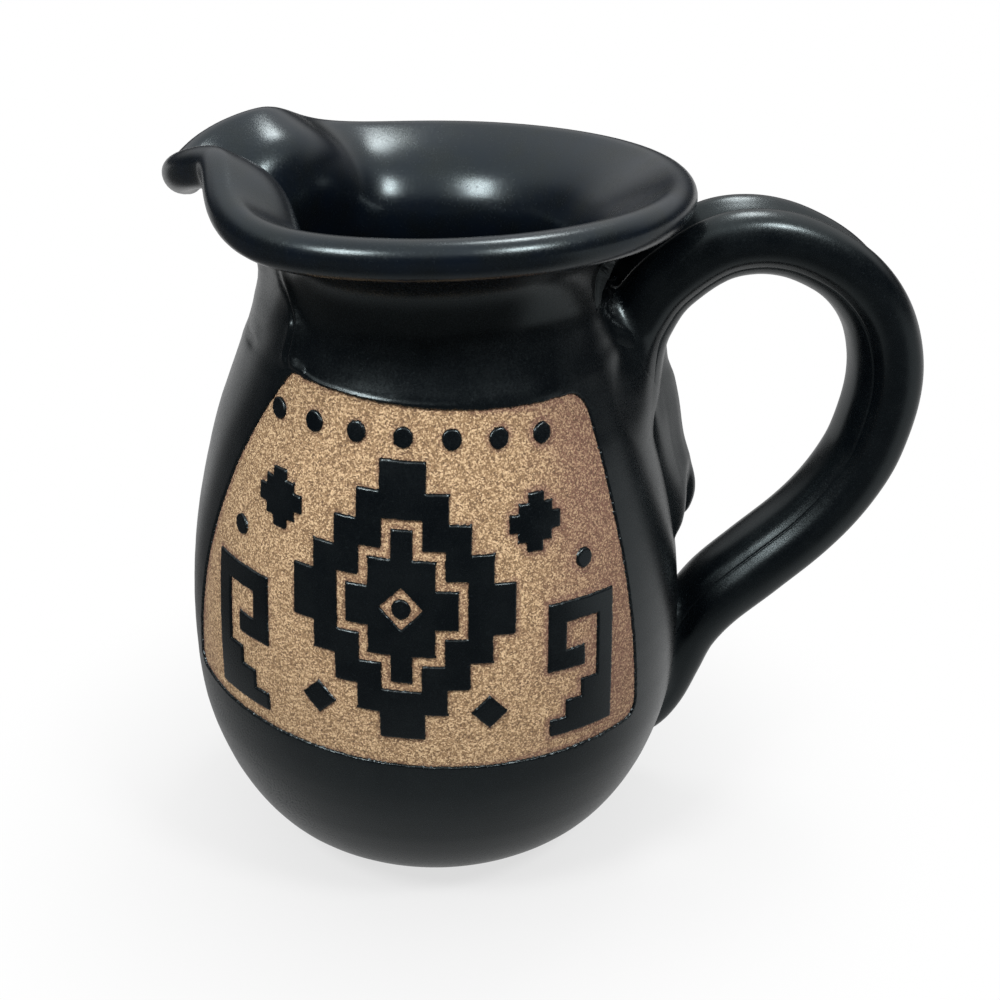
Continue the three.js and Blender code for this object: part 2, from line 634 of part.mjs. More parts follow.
function thumbPad() {
  const span = THUMB_PAD_TOP - THUMB_PAD_BOTTOM;
  const shares = [
    [0, 0.1, 0.4], [0.05, 0.55, 0.62], [0.1, 0.85, 0.74], [0.17, 1, 0.82], [0.3, 1, 0.88],
    [0.45, 0.92, 0.94], [0.6, 0.94, 1], [0.75, 1.05, 1], [0.88, 1.2, 1], [1, 1.3, 1],
  ];
  const stations = shares.map(([up, off, wide]) => [THUMB_PAD_BOTTOM + span * up, off, wide]);
  return wallPad(stations, THUMB_PAD_HEIGHT, THUMB_PAD_WIDTH, 0.2);
}

function lowerTail() {
  const span = TAIL_TOP - TAIL_BOTTOM;
  const shares = [
    [0, 0.1, 0.4], [0.08, 0.4, 0.55], [0.2, 0.64, 0.68], [0.32, 0.7, 0.76], [0.46, 0.72, 0.84],
    [0.6, 0.8, 0.92], [0.74, 1, 1], [0.87, 1.1, 1], [1, 1.1, 1],
  ];
  const stations = shares.map(([up, off, wide]) => [TAIL_BOTTOM + span * up, off, wide]);
  return wallPad(stations, TAIL_HEIGHT, TAIL_WIDTH, 0);
}

// Keeps only the largest piece of a solid that a cut has left in several.
function largest(solid) {
  const pieces = solid.decompose();
  return pieces.reduce((best, piece) => (piece.volume() > best.volume() ? piece : best));
}

const clay = new THREE.MeshStandardMaterial({ color: 0xa07a58, roughness: 0.95, metalness: 0 });
const glaze = new THREE.MeshStandardMaterial({ color: 0x161c22, roughness: 0.38, metalness: 0 });
const liner = new THREE.MeshStandardMaterial({ color: 0x1b232d, roughness: 0.3, metalness: 0 });

const pitcher = new THREE.Group();
function addPiece(name, geometry, material) {
  const mesh = new THREE.Mesh(geometry, material);
  mesh.name = name;
  pitcher.add(mesh);
}

addPiece('clay_body', clayBody(), clay);
addPiece('liner_glaze', linerGlaze(), liner);

const windowCut = toSolid(slabOnWall(
  windowShape(), -WINDOW_DEPTH, WINDOW_DEPTH, (angle, height) => ({ angle, height }),
));
addPiece('outer_glaze', fromSolid(toSolid(outerGlazeShell()).subtract(windowCut)), glaze);

for (const [name, shape] of Object.entries(figures())) {
  addPiece(name, slabOnWall(shape, -GLAZE, 0, onDesign), glaze);
}

const pot = potSpace();
const strap = strapBody(0);
const strapSpace = strapBody(GAP);
addPiece('handle_strap', fromSolid(largest(strap.subtract(pot))), glaze);
addPiece('thumb_pad', fromSolid(largest(thumbPad().subtract(pot).subtract(strapSpace))), glaze);
addPiece('lower_tail', fromSolid(largest(lowerTail().subtract(pot).subtract(strapSpace))), glaze);

export default pitcher;
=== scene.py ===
"""Dresses a thrown stoneware pitcher: clay, glazes, pulled handle and the figures on its bare panel."""

import math
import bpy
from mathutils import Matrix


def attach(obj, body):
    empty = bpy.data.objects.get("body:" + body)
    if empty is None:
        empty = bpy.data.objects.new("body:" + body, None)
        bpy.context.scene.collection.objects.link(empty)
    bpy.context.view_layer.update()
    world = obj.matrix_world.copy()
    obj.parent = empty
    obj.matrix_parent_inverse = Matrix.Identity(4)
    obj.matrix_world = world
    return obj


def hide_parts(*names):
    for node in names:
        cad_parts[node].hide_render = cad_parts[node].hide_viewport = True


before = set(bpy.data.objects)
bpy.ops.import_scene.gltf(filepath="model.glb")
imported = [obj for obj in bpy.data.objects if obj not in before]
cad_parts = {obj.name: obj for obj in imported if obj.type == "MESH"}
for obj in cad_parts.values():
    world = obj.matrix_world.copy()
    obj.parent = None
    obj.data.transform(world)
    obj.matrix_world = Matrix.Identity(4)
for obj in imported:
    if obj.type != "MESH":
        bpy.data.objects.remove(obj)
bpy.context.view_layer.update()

from types import SimpleNamespace

import bmesh
import bpy
import numpy as np
from mathutils import Vector
from mathutils.bvhtree import BVHTree

bl_info = {
    "name": "Stoneware pitcher",
    "version": (1, 0, 0),
    "blender": (4, 5, 0),
    "location": "View3D > Sidebar > Pitcher",
    "description": "Models a glazed stoneware pitcher with a carved panel",
    "category": "Add Mesh",
}

MM = 0.001
BODY = "root"
SHEET_BACK = 0.9 * MM  # how far a glaze sheet's hidden side lies under its face

# Heights by the handle's root, and how far the clay reaches there that is smeared between it and the wall.
SMEAR_STATIONS = [
    (86, 5.0), (96, 10.0), (104, 13.0), (112, 11.0), (118, 6.5), (124, 3.5), (128, 2.5), (142, 2.5),
]
SMEAR_LOW, SMEAR_HIGH = SMEAR_STATIONS[0][0] * MM, SMEAR_STATIONS[-1][0] * MM
SMEAR_MOST = 9 * MM  # farthest that the smear draws a surface out
SMEAR_DIP = 0.12 * MM  # how far it lies under the other surface's own smear
SMEAR_ROUNDS = 9


def length(name, description, default_mm):
    """A size that a user may change, given here in millimetres and kept in metres."""
    return bpy.props.FloatProperty(
        name=name, description=description, default=default_mm * MM, unit="LENGTH", precision=5
    )


def turn(name, description, default_degrees):
    """An angle that a user may change, given here in degrees."""
    return bpy.props.FloatProperty(
        name=name, description=description, default=math.radians(default_degrees), subtype="ANGLE"
    )


def share(name, description, default):
    """A number from 0 to 1 that a user may change."""
    return bpy.props.FloatProperty(
        name=name, description=description, default=default, min=0.0, max=1.0, subtype="FACTOR"
    )


def colour(name, description, default):
    """A colour that a user may change."""
    return bpy.props.FloatVectorProperty(
        name=name, description=description, default=default, size=3, min=0.0, max=1.0, subtype="COLOR"
    )


def strength(name, description, default, unit="NONE"):
    """A lamp's power or another plain strength that a user may change."""
    return bpy.props.FloatProperty(name=name, description=description, default=default, min=0.0, unit=unit)


class PotSizes(bpy.types.PropertyGroup):
    """The thrown pot's sizes."""

    foot_radius: length("Foot radius", "Radius of the foot", 31.0)
    haunch_radius: length("Haunch radius", "Radius just above the foot", 44.5)
    haunch_height: length("Haunch height", "Height of the haunch", 12.5)
    belly_radius: length("Belly radius", "Largest radius", 54.4)
    belly_height: length("Belly height", "Height of the largest radius", 52.0)
    shoulder_radius: length("Shoulder radius", "Radius of the shoulder", 46.6)
    shoulder_height: length("Shoulder height", "Height of the shoulder", 98.0)
    neck_radius: length("Neck radius", "Smallest radius of the neck", 36.0)
    neck_height: length("Neck height", "Height of the neck's narrowest place", 130.0)
    rim_radius: length("Rim radius", "Radius of the rolled rim's middle line", 49.5)
    rim_height: length("Rim height", "Height of the rim's top", 150.0)
    roll_radius: length("Roll radius", "Thickness of the rolled rim, as a radius", 3.75)
    wall: length("Wall", "Thickness of the wall", 4.0)
    floor: length("Floor", "Thickness of the floor", 6.0)
    relief: length("Relief", "Depth of the bare clay under the glaze's face", 0.5)
    glaze_edge: length("Glaze edge", "Radius of the glaze's rounded edge at the panel", 0.34)


class SpoutSizes(bpy.types.PropertyGroup):
    """The pulled spout's sizes."""

    direction: turn("Direction", "Where the spout points", -99.0)
    pinch_depth: length("Pinch depth", "How far the cheeks are pinched in", 7.4)
    pinch_angle: turn("Pinch angle", "From the spout's middle to its cheeks", 28.0)
    pinch_inside: turn("Pinch spread inside", "How softly the cheek meets the lip", 14.0)
    pinch_outside: turn("Pinch spread outside", "How softly the cheek meets the rim", 20.0)
    rise: length("Rise", "How far the cheeks are drawn up", 8.2)
    rise_angle: turn("Rise angle", "From the spout's middle to its highest place", 27.0)
    rise_spread: turn("Rise spread", "How softly the rim rises to the spout", 23.0)
    root_height: length("Root height", "Where the spout begins", 124.0)
    tuck: length("Tuck", "How far the throat under the spout is drawn in", 1.0)
    crease_angle: turn("Crease angle", "From the spout's middle to the crease at its side", 51.8)
    crease_depth: length("Crease depth", "Depth of the crease beside the throat", 0.7)
    swell: length("Swell", "How far the throat swells beside the crease", 0.55)


class PanelSizes(bpy.types.PropertyGroup):
    """The bare panel's corners and the margins of its figures."""

    top_left: turn("Top left", "Angle of the corner", -45.0)
    top_right: turn("Top right", "Angle of the corner", 41.0)
    bottom_left: turn("Bottom left", "Angle of the corner", -72.0)
    bottom_right: turn("Bottom right", "Angle of the corner", 46.5)
    left_bulge: turn("Left bulge", "Angle that the left side bends towards", -66.0)
    top_left_height: length("Top left height", "Height of the corner", 119.0)
    top_right_height: length("Top right height", "Height of the corner", 114.6)
    bottom_left_height: length("Bottom left height", "Height of the corner", 49.5)
    bottom_right_height: length("Bottom right height", "Height of the corner", 44.0)
    left_bulge_height: length("Left bulge height", "Height that the left side bends towards", 101.5)
    corner: length("Corner", "Rounding of the corners", 4.0)
    direction: turn("Design direction", "Middle of the figures", -10.0)
    slope: share("Design slope", "How much the figures slope with the panel", 0.05)
    margin: length("Margin", "Bare clay round the figures", 2.1)
    dot_radius: length("Dot radius", "Radius of the dots", 1.9)
    band: length("Band", "Width of the diamond's band", 5.0)
    line: length("Line", "Width of the bare line in the diamond", 1.8)


class HandleSizes(bpy.types.PropertyGroup):
    """The pulled strap's sizes."""

    width: length("Width", "Width of the strap", 21.0)
    root_width: length("Root width", "Width of the strap at the neck", 24.0)
    thickness: length("Thickness", "Thickness of the strap at its middle", 13.2)
    groove: length("Groove", "Depth of the groove along the outer face", 2.6)
    flare: length("Flare", "Radius of the smear where the strap meets the wall", 4.0)
    pad_width: length("Pad width", "Half width of the pad under the root", 8.0)


class FinishSettings(bpy.types.PropertyGroup):
    """Colours and gloss of the clay and the glazes."""

    clay_light: colour("Light grains", "Colour of the light grains", (0.66, 0.475, 0.285))
    clay_middle: colour("Clay", "Colour of the bare clay", (0.275, 0.172, 0.088))
    clay_dark: colour("Dark grains", "Colour of the dark grains", (0.10, 0.058, 0.036))
    # Colour of the random darker patches and of the shade painted on the clay beside the glaze and towards
    # the panel's sides.
    clay_patches_and_shade: colour("Shaded and patchy clay", "Colour of the clay near glaze", (0.175, 0.088, 0.062))
    glaze_deep: colour("Deep glaze", "Colour of thick glaze", (0.0010, 0.0018, 0.0028))
    glaze_thin: colour("Thin glaze", "Colour of thin glaze", (0.0030, 0.0042, 0.0052))
    liner: colour("Liner", "Colour of the glaze inside", (0.0026, 0.0046, 0.0085))
    outer_roughness: share("Outer roughness", "Roughness of the outer glaze", 0.27)
    liner_roughness: share("Liner roughness", "Roughness of the glaze inside", 0.24)


class StudioSettings(bpy.types.PropertyGroup):
    """The studio's floor, lamps and camera."""

    floor: colour("Floor", "Colour of the floor", (0.45, 0.45, 0.45))
    key_power: strength("Key power", "Power of the left lamp", 6.0, "POWER")
    side_power: strength("Side power", "Power of the right lamp", 5.0, "POWER")
    back_power: strength("Back power", "Power of the lamp behind", 3.0, "POWER")
    floor_near: share("Floor near", "Brightness in the glaze of the floor beside the foot", 0.45)
    floor_far: share("Floor far", "Brightness in the glaze of the floor farther in front", 0.12)
    floor_back: share("Floor back", "Brightness in the glaze of the floor behind", 0.65)
    room: share("Room", "Light from the room all round", 0.05)
    wall_light: share("Wall light", "Light from the pale wall behind and at the right", 0.8)
    ceiling: strength("Ceiling", "Light from above", 1.1)
    lens: strength("Lens", "Focal length on a 36 mm sensor", 50.4, "CAMERA")


GROUPS = {
    "pitcher_pot": PotSizes,
    "pitcher_spout": SpoutSizes,
    "pitcher_panel": PanelSizes,
    "pitcher_handle": HandleSizes,
    "pitcher_finish": FinishSettings,
    "pitcher_studio": StudioSettings,
}


def settings_of(group):
    """A group's settings as plain values, with its angles in degrees."""
    values = {name: getattr(group, name) for name in type(group).__annotations__}
    for name, value in values.items():
        if group.bl_rna.properties[name].subtype == "ANGLE":
            values[name] = round(math.degrees(value), 4)  # a setting holds only about seven digits
    return SimpleNamespace(**values)


def bell(distance, spread):
    """One at no distance, falling softly to nothing past the spread."""
    return np.exp(-((distance / spread) ** 2))


def ease(value, low, high):
    """Nought below low, one above high, and soft between them."""
    step = np.clip((np.asarray(value, float) - low) / (high - low), 0.0, 1.0)
    return step * step * (3.0 - 2.0 * step)


def smooth_through(stations, at):
    """The value at each place of a smooth line through stations, which are pairs of place and value."""
    places, values = np.array(stations, float).T
    slopes = np.gradient(values, places)
    slopes[1:-1] = (values[2:] - values[:-2]) / (places[2:] - places[:-2])
    i = np.clip(np.searchsorted(places, at, side="right") - 1, 0, len(places) - 2)
    span = places[i + 1] - places[i]
    t = np.clip((at - places[i]) / span, 0.0, 1.0)
    rise = t * t * (3.0 - 2.0 * t)
    bend = span * t * (1.0 - t) * ((1.0 - t) * slopes[i] - t * slopes[i + 1])
    return values[i] * (1.0 - rise) + values[i + 1] * rise + bend


def bezier(corners, count):
    """Points along a Bezier curve of three or four corners."""
    t = np.linspace(0.0, 1.0, count)[:, None]
    rows = list(np.array(corners, float)[:, None, :])
    while len(rows) > 1:
        rows = [a * (1.0 - t) + b * t for a, b in zip(rows, rows[1:])]
    return rows[0]


def along_curve(points, spacing):
    """Points about a spacing apart on a smooth open curve through a few, and their shares of its length."""
    points = np.array(points, float)
    knots = np.concatenate([[0.0], np.cumsum(np.linalg.norm(np.diff(points, axis=0), axis=1) ** 0.5)])
    dense = np.linspace(0.0, knots[-1], 4000)
    curve = np.stack([smooth_through(list(zip(knots, column)), dense) for column in points.T], axis=1)
    run = np.concatenate([[0.0], np.cumsum(np.linalg.norm(np.diff(curve, axis=0), axis=1))])
    shares = np.linspace(0.0, 1.0, int(run[-1] / spacing) + 1)
    picked = np.stack([np.interp(shares * run[-1], run, column) for column in curve.T], axis=1)
    return picked, shares


def radii(places):
    """How far places are from the pot's axis."""
    return np.hypot(places[:, 0], places[:, 1])


def angles(places):
    """How far round the pot places are, in degrees from -Y towards +X."""
    return np.degrees(np.arctan2(places[:, 0], -places[:, 1]))


class PotForm:
    """The thrown pot's form. Angles are in degrees round from -Y towards +X."""

    GLAZE_START = 1.1 * MM  # height at which the foot is wiped clean
    UNDER_ROLL = 138 * MM  # height above which the wall's slope isn't read, because it turns into the roll
    ROLL_START = 220  # angle on the roll at which the wall meets it

    def __init__(self, scene):
        self.pot, self.spout = settings_of(scene.pitcher_pot), settings_of(scene.pitcher_spout)
        pot = self.pot
        middle = (pot.haunch_height + pot.belly_height) / 2
        upper = (pot.belly_height + pot.shoulder_height) / 2
        collar = (pot.shoulder_height + pot.neck_height) / 2
        self.stations = [
            (0.0, pot.foot_radius),
            (pot.haunch_height, pot.haunch_radius),
            (middle, pot.haunch_radius + 0.84 * (pot.belly_radius - pot.haunch_radius)),
            (pot.belly_height, pot.belly_radius),
            (upper, pot.shoulder_radius + 0.72 * (pot.belly_radius - pot.shoulder_radius)),
            (pot.shoulder_height, pot.shoulder_radius),
            (collar, pot.neck_radius + 0.48 * (pot.shoulder_radius - pot.neck_radius)),
            (pot.neck_height, pot.neck_radius),
            (pot.neck_height + 8 * MM, pot.neck_radius * 1.04),
        ]
        self.roll_height = pot.rim_height - pot.roll_radius
        flare = self.flare()
        self.flare_heights, self.flare_radii = flare[:, 1], flare[:, 0]

    def roll_point(self, angle):
        """A point on the rolled rim, as radius and height, at an angle up from outwards."""
        at = np.radians(angle)
        return np.array([
            self.pot.rim_radius + self.pot.roll_radius * np.cos(at),
            self.roll_height + self.pot.roll_radius * np.sin(at),
        ])

    def flare(self):
        """The outside from the neck's narrowest place up to the crease under the roll."""
        pot = self.pot
        up, out = pot.rim_height - pot.neck_height, pot.rim_radius - pot.neck_radius
        return bezier([
            (pot.neck_radius, pot.neck_height),
            (pot.neck_radius, pot.neck_height + 0.36 * up),
            (pot.neck_radius + 0.36 * out, pot.rim_height - 2.6 * pot.roll_radius),
            self.roll_point(self.ROLL_START),
        ], 13)

    def wall(self, height):
        """The outer wall's radius at each height, up to the crease under the roll."""
        height = np.asarray(height, float)
        low = smooth_through(self.stations, height)
        high = np.interp(height, self.flare_heights, self.flare_radii)
        return np.where(height > self.pot.neck_height, high, low)

    def off_wall(self, places):
        """How far places are off the outer wall, and the wall's outward directions there."""
        radius, height = radii(places), np.minimum(places[:, 2], self.UNDER_ROLL)
        slope = (self.wall(height + 0.5 * MM) - self.wall(height - 0.5 * MM)) / MM
        lean = 1.0 / np.sqrt(1.0 + slope ** 2)
        normal = np.column_stack([places[:, :2] / radius[:, None], -slope]) * lean[:, None]
        return (radius - self.wall(height)) * lean, normal

    def on_wall(self, places):
        """Which places of a turned mesh are on the outer wall."""
        return np.abs(radii(places) - self.wall(places[:, 2])) < 1.5 * MM

    def outside(self, spacing):
        """The outline from the foot to just inside the roll."""
        start, end = self.GLAZE_START, self.pot.neck_height
        heights = np.linspace(start, end, int((end - start) / spacing) + 1)
        wall = np.stack([self.wall(heights), heights], axis=1)
        crease = self.roll_point(self.ROLL_START)
        tucked = crease + (crease - self.flare()[-3]) * 0.5
        return np.concatenate([wall, self.flare()[1:], [tucked]])

    def over_rim(self, spacing):
        """The outline from the crease under the roll, over the rim and down to the middle of the floor."""
        pot = self.pot
        tucked = self.roll_point(self.ROLL_START - 6) - np.array([0.8, -0.3]) * MM
        roll = np.stack([self.roll_point(angle) for angle in np.arange(self.ROLL_START + 6, 474, 12.0)])
        inner = pot.neck_radius - pot.wall
        up, out = pot.rim_height - pot.neck_height, pot.rim_radius - pot.neck_radius
        throat = bezier([
            self.roll_point(478),
            (pot.neck_radius + 0.44 * out, pot.rim_height - 0.93 * pot.roll_radius),
            (inner, pot.neck_height + 0.55 * up),
            (inner, pot.neck_height),
        ], 18)
        edge = pot.floor + pot.wall
        heights = np.linspace(pot.neck_height, edge, int((pot.neck_height - edge) / spacing))[1:]
        wall = pot.wall * (1 + 0.5 * (1 - heights / pot.neck_height) ** 4)
        inside = np.stack([self.wall(heights) - wall, heights], axis=1)
        corner = inside[-1]
        flat = corner[0] * 0.6
        bowl = bezier([corner, (corner[0] * 0.93, pot.floor + 0.1 * pot.wall), (flat, pot.floor)], 9)[1:]
        floor = np.stack([np.linspace(flat, 0.0, 9)[1:], np.full(8, pot.floor)], axis=1)
        return np.concatenate([[tucked], roll, throat, inside, bowl, floor])

    def rim_line(self, angle, pulled):
        """The rim's middle line in plan, with as much of the spout's pinch as it is pulled."""
        spout, away = self.spout, self.from_spout(angle)
        spread = np.where(away < spout.pinch_angle, spout.pinch_inside, spout.pinch_outside)
        reach = self.pot.rim_radius - pulled * spout.pinch_depth * bell(away - spout.pinch_angle, spread)
        at = np.radians(angle)
        return np.stack([np.sin(at), -np.cos(at)], axis=1) * reach[:, None]

    def from_spout(self, angle):
        """How far round from the spout each angle is, without its side."""
        return np.abs((angle - self.spout.direction + 540.0) % 360.0 - 180.0)

    def place(self, radius, height, angle):
        """Puts points of the turned form where the pulled spout and its throat carry them."""
        pot, spout = self.pot, self.spout
        pulled = ease(height, spout.root_height, self.roll_height)
        along = self.rim_line(angle + 1.0, pulled) - self.rim_line(angle - 1.0, pulled)
        along /= np.linalg.norm(along, axis=1)[:, None]
        outward = np.stack([along[:, 1], -along[:, 0]], axis=1)
        away = self.from_spout(angle)
        under = 1.0 - ease(away, spout.crease_angle / 2, spout.crease_angle)
        middle = pot.shoulder_height + 0.8 * (pot.neck_height - pot.shoulder_height)
        tuck = spout.tuck * under * bell(height - middle, (pot.neck_height - pot.shoulder_height) / 2)
        plan = self.rim_line(angle, pulled) + outward * (radius - pot.rim_radius - tuck)[:, None]
        rise = spout.rise * pulled * bell(away - spout.rise_angle, spout.rise_spread)
        return np.column_stack([plan, height + rise])

    def place_turned(self, coords):
        """The same for points of a turned mesh."""
        return self.place(radii(coords), coords[:, 2], angles(coords))


def vertex_places(bm):
    """The places of a bmesh's vertices as rows of an array."""
    return np.array([vert.co[:] for vert in bm.verts], float)


def vertex_normals(bm):
    """The normals of a bmesh's vertices as rows of an array."""
    bm.normal_update()
    return np.array([vert.normal[:] for vert in bm.verts], float)


def move_vertices(bm, places):
    """Moves a bmesh's vertices to the rows of an array."""
    for vert, place in zip(bm.verts, places):
        vert.co = place


def thrown(outline, steps, start):
    """A surface turned about the pot's axis from an outline, facing to the outline's right."""
    bm = bmesh.new()
    at = math.radians(start)
    verts = [bm.verts.new((r * math.sin(at), -r * math.cos(at), z)) for r, z in outline]
    edges = [bm.edges.new(pair) for pair in zip(verts, verts[1:])]
    bmesh.ops.spin(
        bm, geom=verts + edges, cent=(0, 0, 0), axis=(0, 0, 1), dvec=(0, 0, 0),
        angle=math.tau, steps=steps, use_merge=True, use_normal_flip=True, use_duplicate=False,
    )
    bmesh.ops.remove_doubles(bm, verts=bm.verts, dist=1e-6)
    return bm


def sheet(columns, rows):
    """A flat grid from 0 to 1 both ways."""
    bm = bmesh.new()
    bmesh.ops.create_grid(bm, x_segments=columns, y_segments=rows, size=0.5)
    bmesh.ops.translate(bm, vec=(0.5, 0.5, 0.0), verts=bm.verts)
    return bm


def refine(bm, wanted, cuts):
    """Cuts the edges more finely where both their ends are wanted."""
    bm.verts.index_update()
    edges = [edge for edge in bm.edges if all(wanted[vert.index] for vert in edge.verts)]
    bmesh.ops.subdivide_edges(bm, edges=edges, cuts=cuts, use_grid_fill=True)


def cut_along(bm, distance, level):
    """Cuts the faces along the line on which the distance of places is at a level."""
    values = distance(vertex_places(bm)) - level
    values[np.abs(values) < 1e-9] = 1e-9
    bm.verts.index_update()
    crossed = [edge for edge in bm.edges if values[edge.verts[0].index] * values[edge.verts[1].index] < 0]
    fresh = []
    for edge in crossed:
        first, second = (values[vert.index] for vert in edge.verts)
        split = min(max(first / (first - second), 0.06), 0.94)
        fresh.append(bmesh.utils.edge_split(edge, edge.verts[0], split)[1])
    bmesh.ops.connect_verts(bm, verts=fresh, check_degenerate=False)


def trim(bm, distance, edge):
    """Cuts a sheet along its outline and along the rows that round its edge, and drops what lies outside."""
    for level in (edge, edge * 0.33, 0.0):
        cut_along(bm, distance, level)
    middles = np.array([face.calc_center_median()[:] for face in bm.faces], float)
    outside = [face for face, value in zip(bm.faces, distance(middles)) if value < 0.0]
    bmesh.ops.delete(bm, geom=outside, context="FACES")


def close_sheet(bm, front, back):
    """Closes an open sheet with a copy of itself, and puts the two sides at the given places."""
    source = bm.verts.layers.int.new("source")
    for i, vert in enumerate(bm.verts):
        vert[source] = i
    faces = bm.faces[:]
    fresh = set(bmesh.ops.extrude_face_region(bm, geom=faces, use_keep_orig=True)["geom"])
    bmesh.ops.reverse_faces(bm, faces=faces)
    for vert in bm.verts:
        vert.co = (front if vert in fresh else back)[vert[source]]


def finish_piece(bm, name, material, slot, *nodes):
    """Makes the bmesh a piece of the pitcher that stands for CAD nodes."""
    mesh = bpy.data.meshes.new(name)
    for face in bm.faces:
        face.smooth = True
    bmesh.ops.triangulate(bm, faces=[face for face in bm.faces if len(face.verts) > 4])
    bm.to_mesh(mesh)
    bm.free()
    piece = bpy.data.objects.new(name, mesh)
    bpy.context.scene.collection.objects.link(piece)
    mesh.materials.append(material)
    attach(piece, BODY)
    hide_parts(*nodes)
    return piece


def inside_distance(points, loops):
    """How far each flat point is inside closed loops of corners, and below nought outside them."""
    nearest = np.full(len(points), np.inf)
    inside = np.zeros(len(points), bool)
    for loop in loops:
        for start, end in zip(loop, np.roll(loop, -1, axis=0)):
            run = end - start
            offset = points - start
            t = np.clip(offset @ run / (run @ run), 0.0, 1.0)
            nearest = np.minimum(nearest, np.hypot(*(offset - t[:, None] * run).T))
            if start[1] != end[1]:
                spans = (points[:, 1] < start[1]) != (points[:, 1] < end[1])
                at = start[0] + (points[:, 1] - start[1]) * run[0] / run[1]
                inside ^= spans & (points[:, 0] < at)
    return np.where(inside, nearest, -nearest)


def torn(points, amount):
    """A small wander of an edge, as a stencil leaves it under the blast."""
    x, y = points[:, 0] / MM, points[:, 1] / MM
    slow = np.sin(0.9 * x + 2.1 * np.sin(0.5 * y)) * np.cos(0.8 * y + 1.3 * np.sin(0.4 * x))
    quick = np.sin(3.7 * x + 1.7 * np.cos(2.3 * y)) * np.sin(4.1 * y + 1.1 * np.cos(2.9 * x))
    grain = np.sin(9.1 * x + 2.0 * np.cos(6.1 * y)) * np.sin(8.3 * y + 2.0 * np.sin(7.7 * x))
    return amount * (0.45 * slow + 0.5 * quick + 0.6 * grain)


def smear_reach(places):
    """How far the clay smeared between the wall and the handle's root reaches, at each place."""
    return MM * smooth_through(SMEAR_STATIONS, places[:, 2] / MM)


def smear(places, normals, other):
    """How far places move along their normals to lie on the clay smeared between them and another surface.

    Past its middle the smear lies a little low, so the other surface's own smear covers it there.
    """
    moved = np.zeros(len(places))
    for _ in range(SMEAR_ROUNDS):
        at = places + normals * moved[:, None]
        away, reach = other(at), smear_reach(at)
        near = np.maximum(reach - np.abs(moved - away), 0.0) / reach
        moved = np.clip(moved - np.minimum(moved, away) + near ** 2 * reach / 4, 0.0, SMEAR_MOST)
    return moved - SMEAR_DIP * np.clip((moved - away) / MM, 0.0, 1.0)


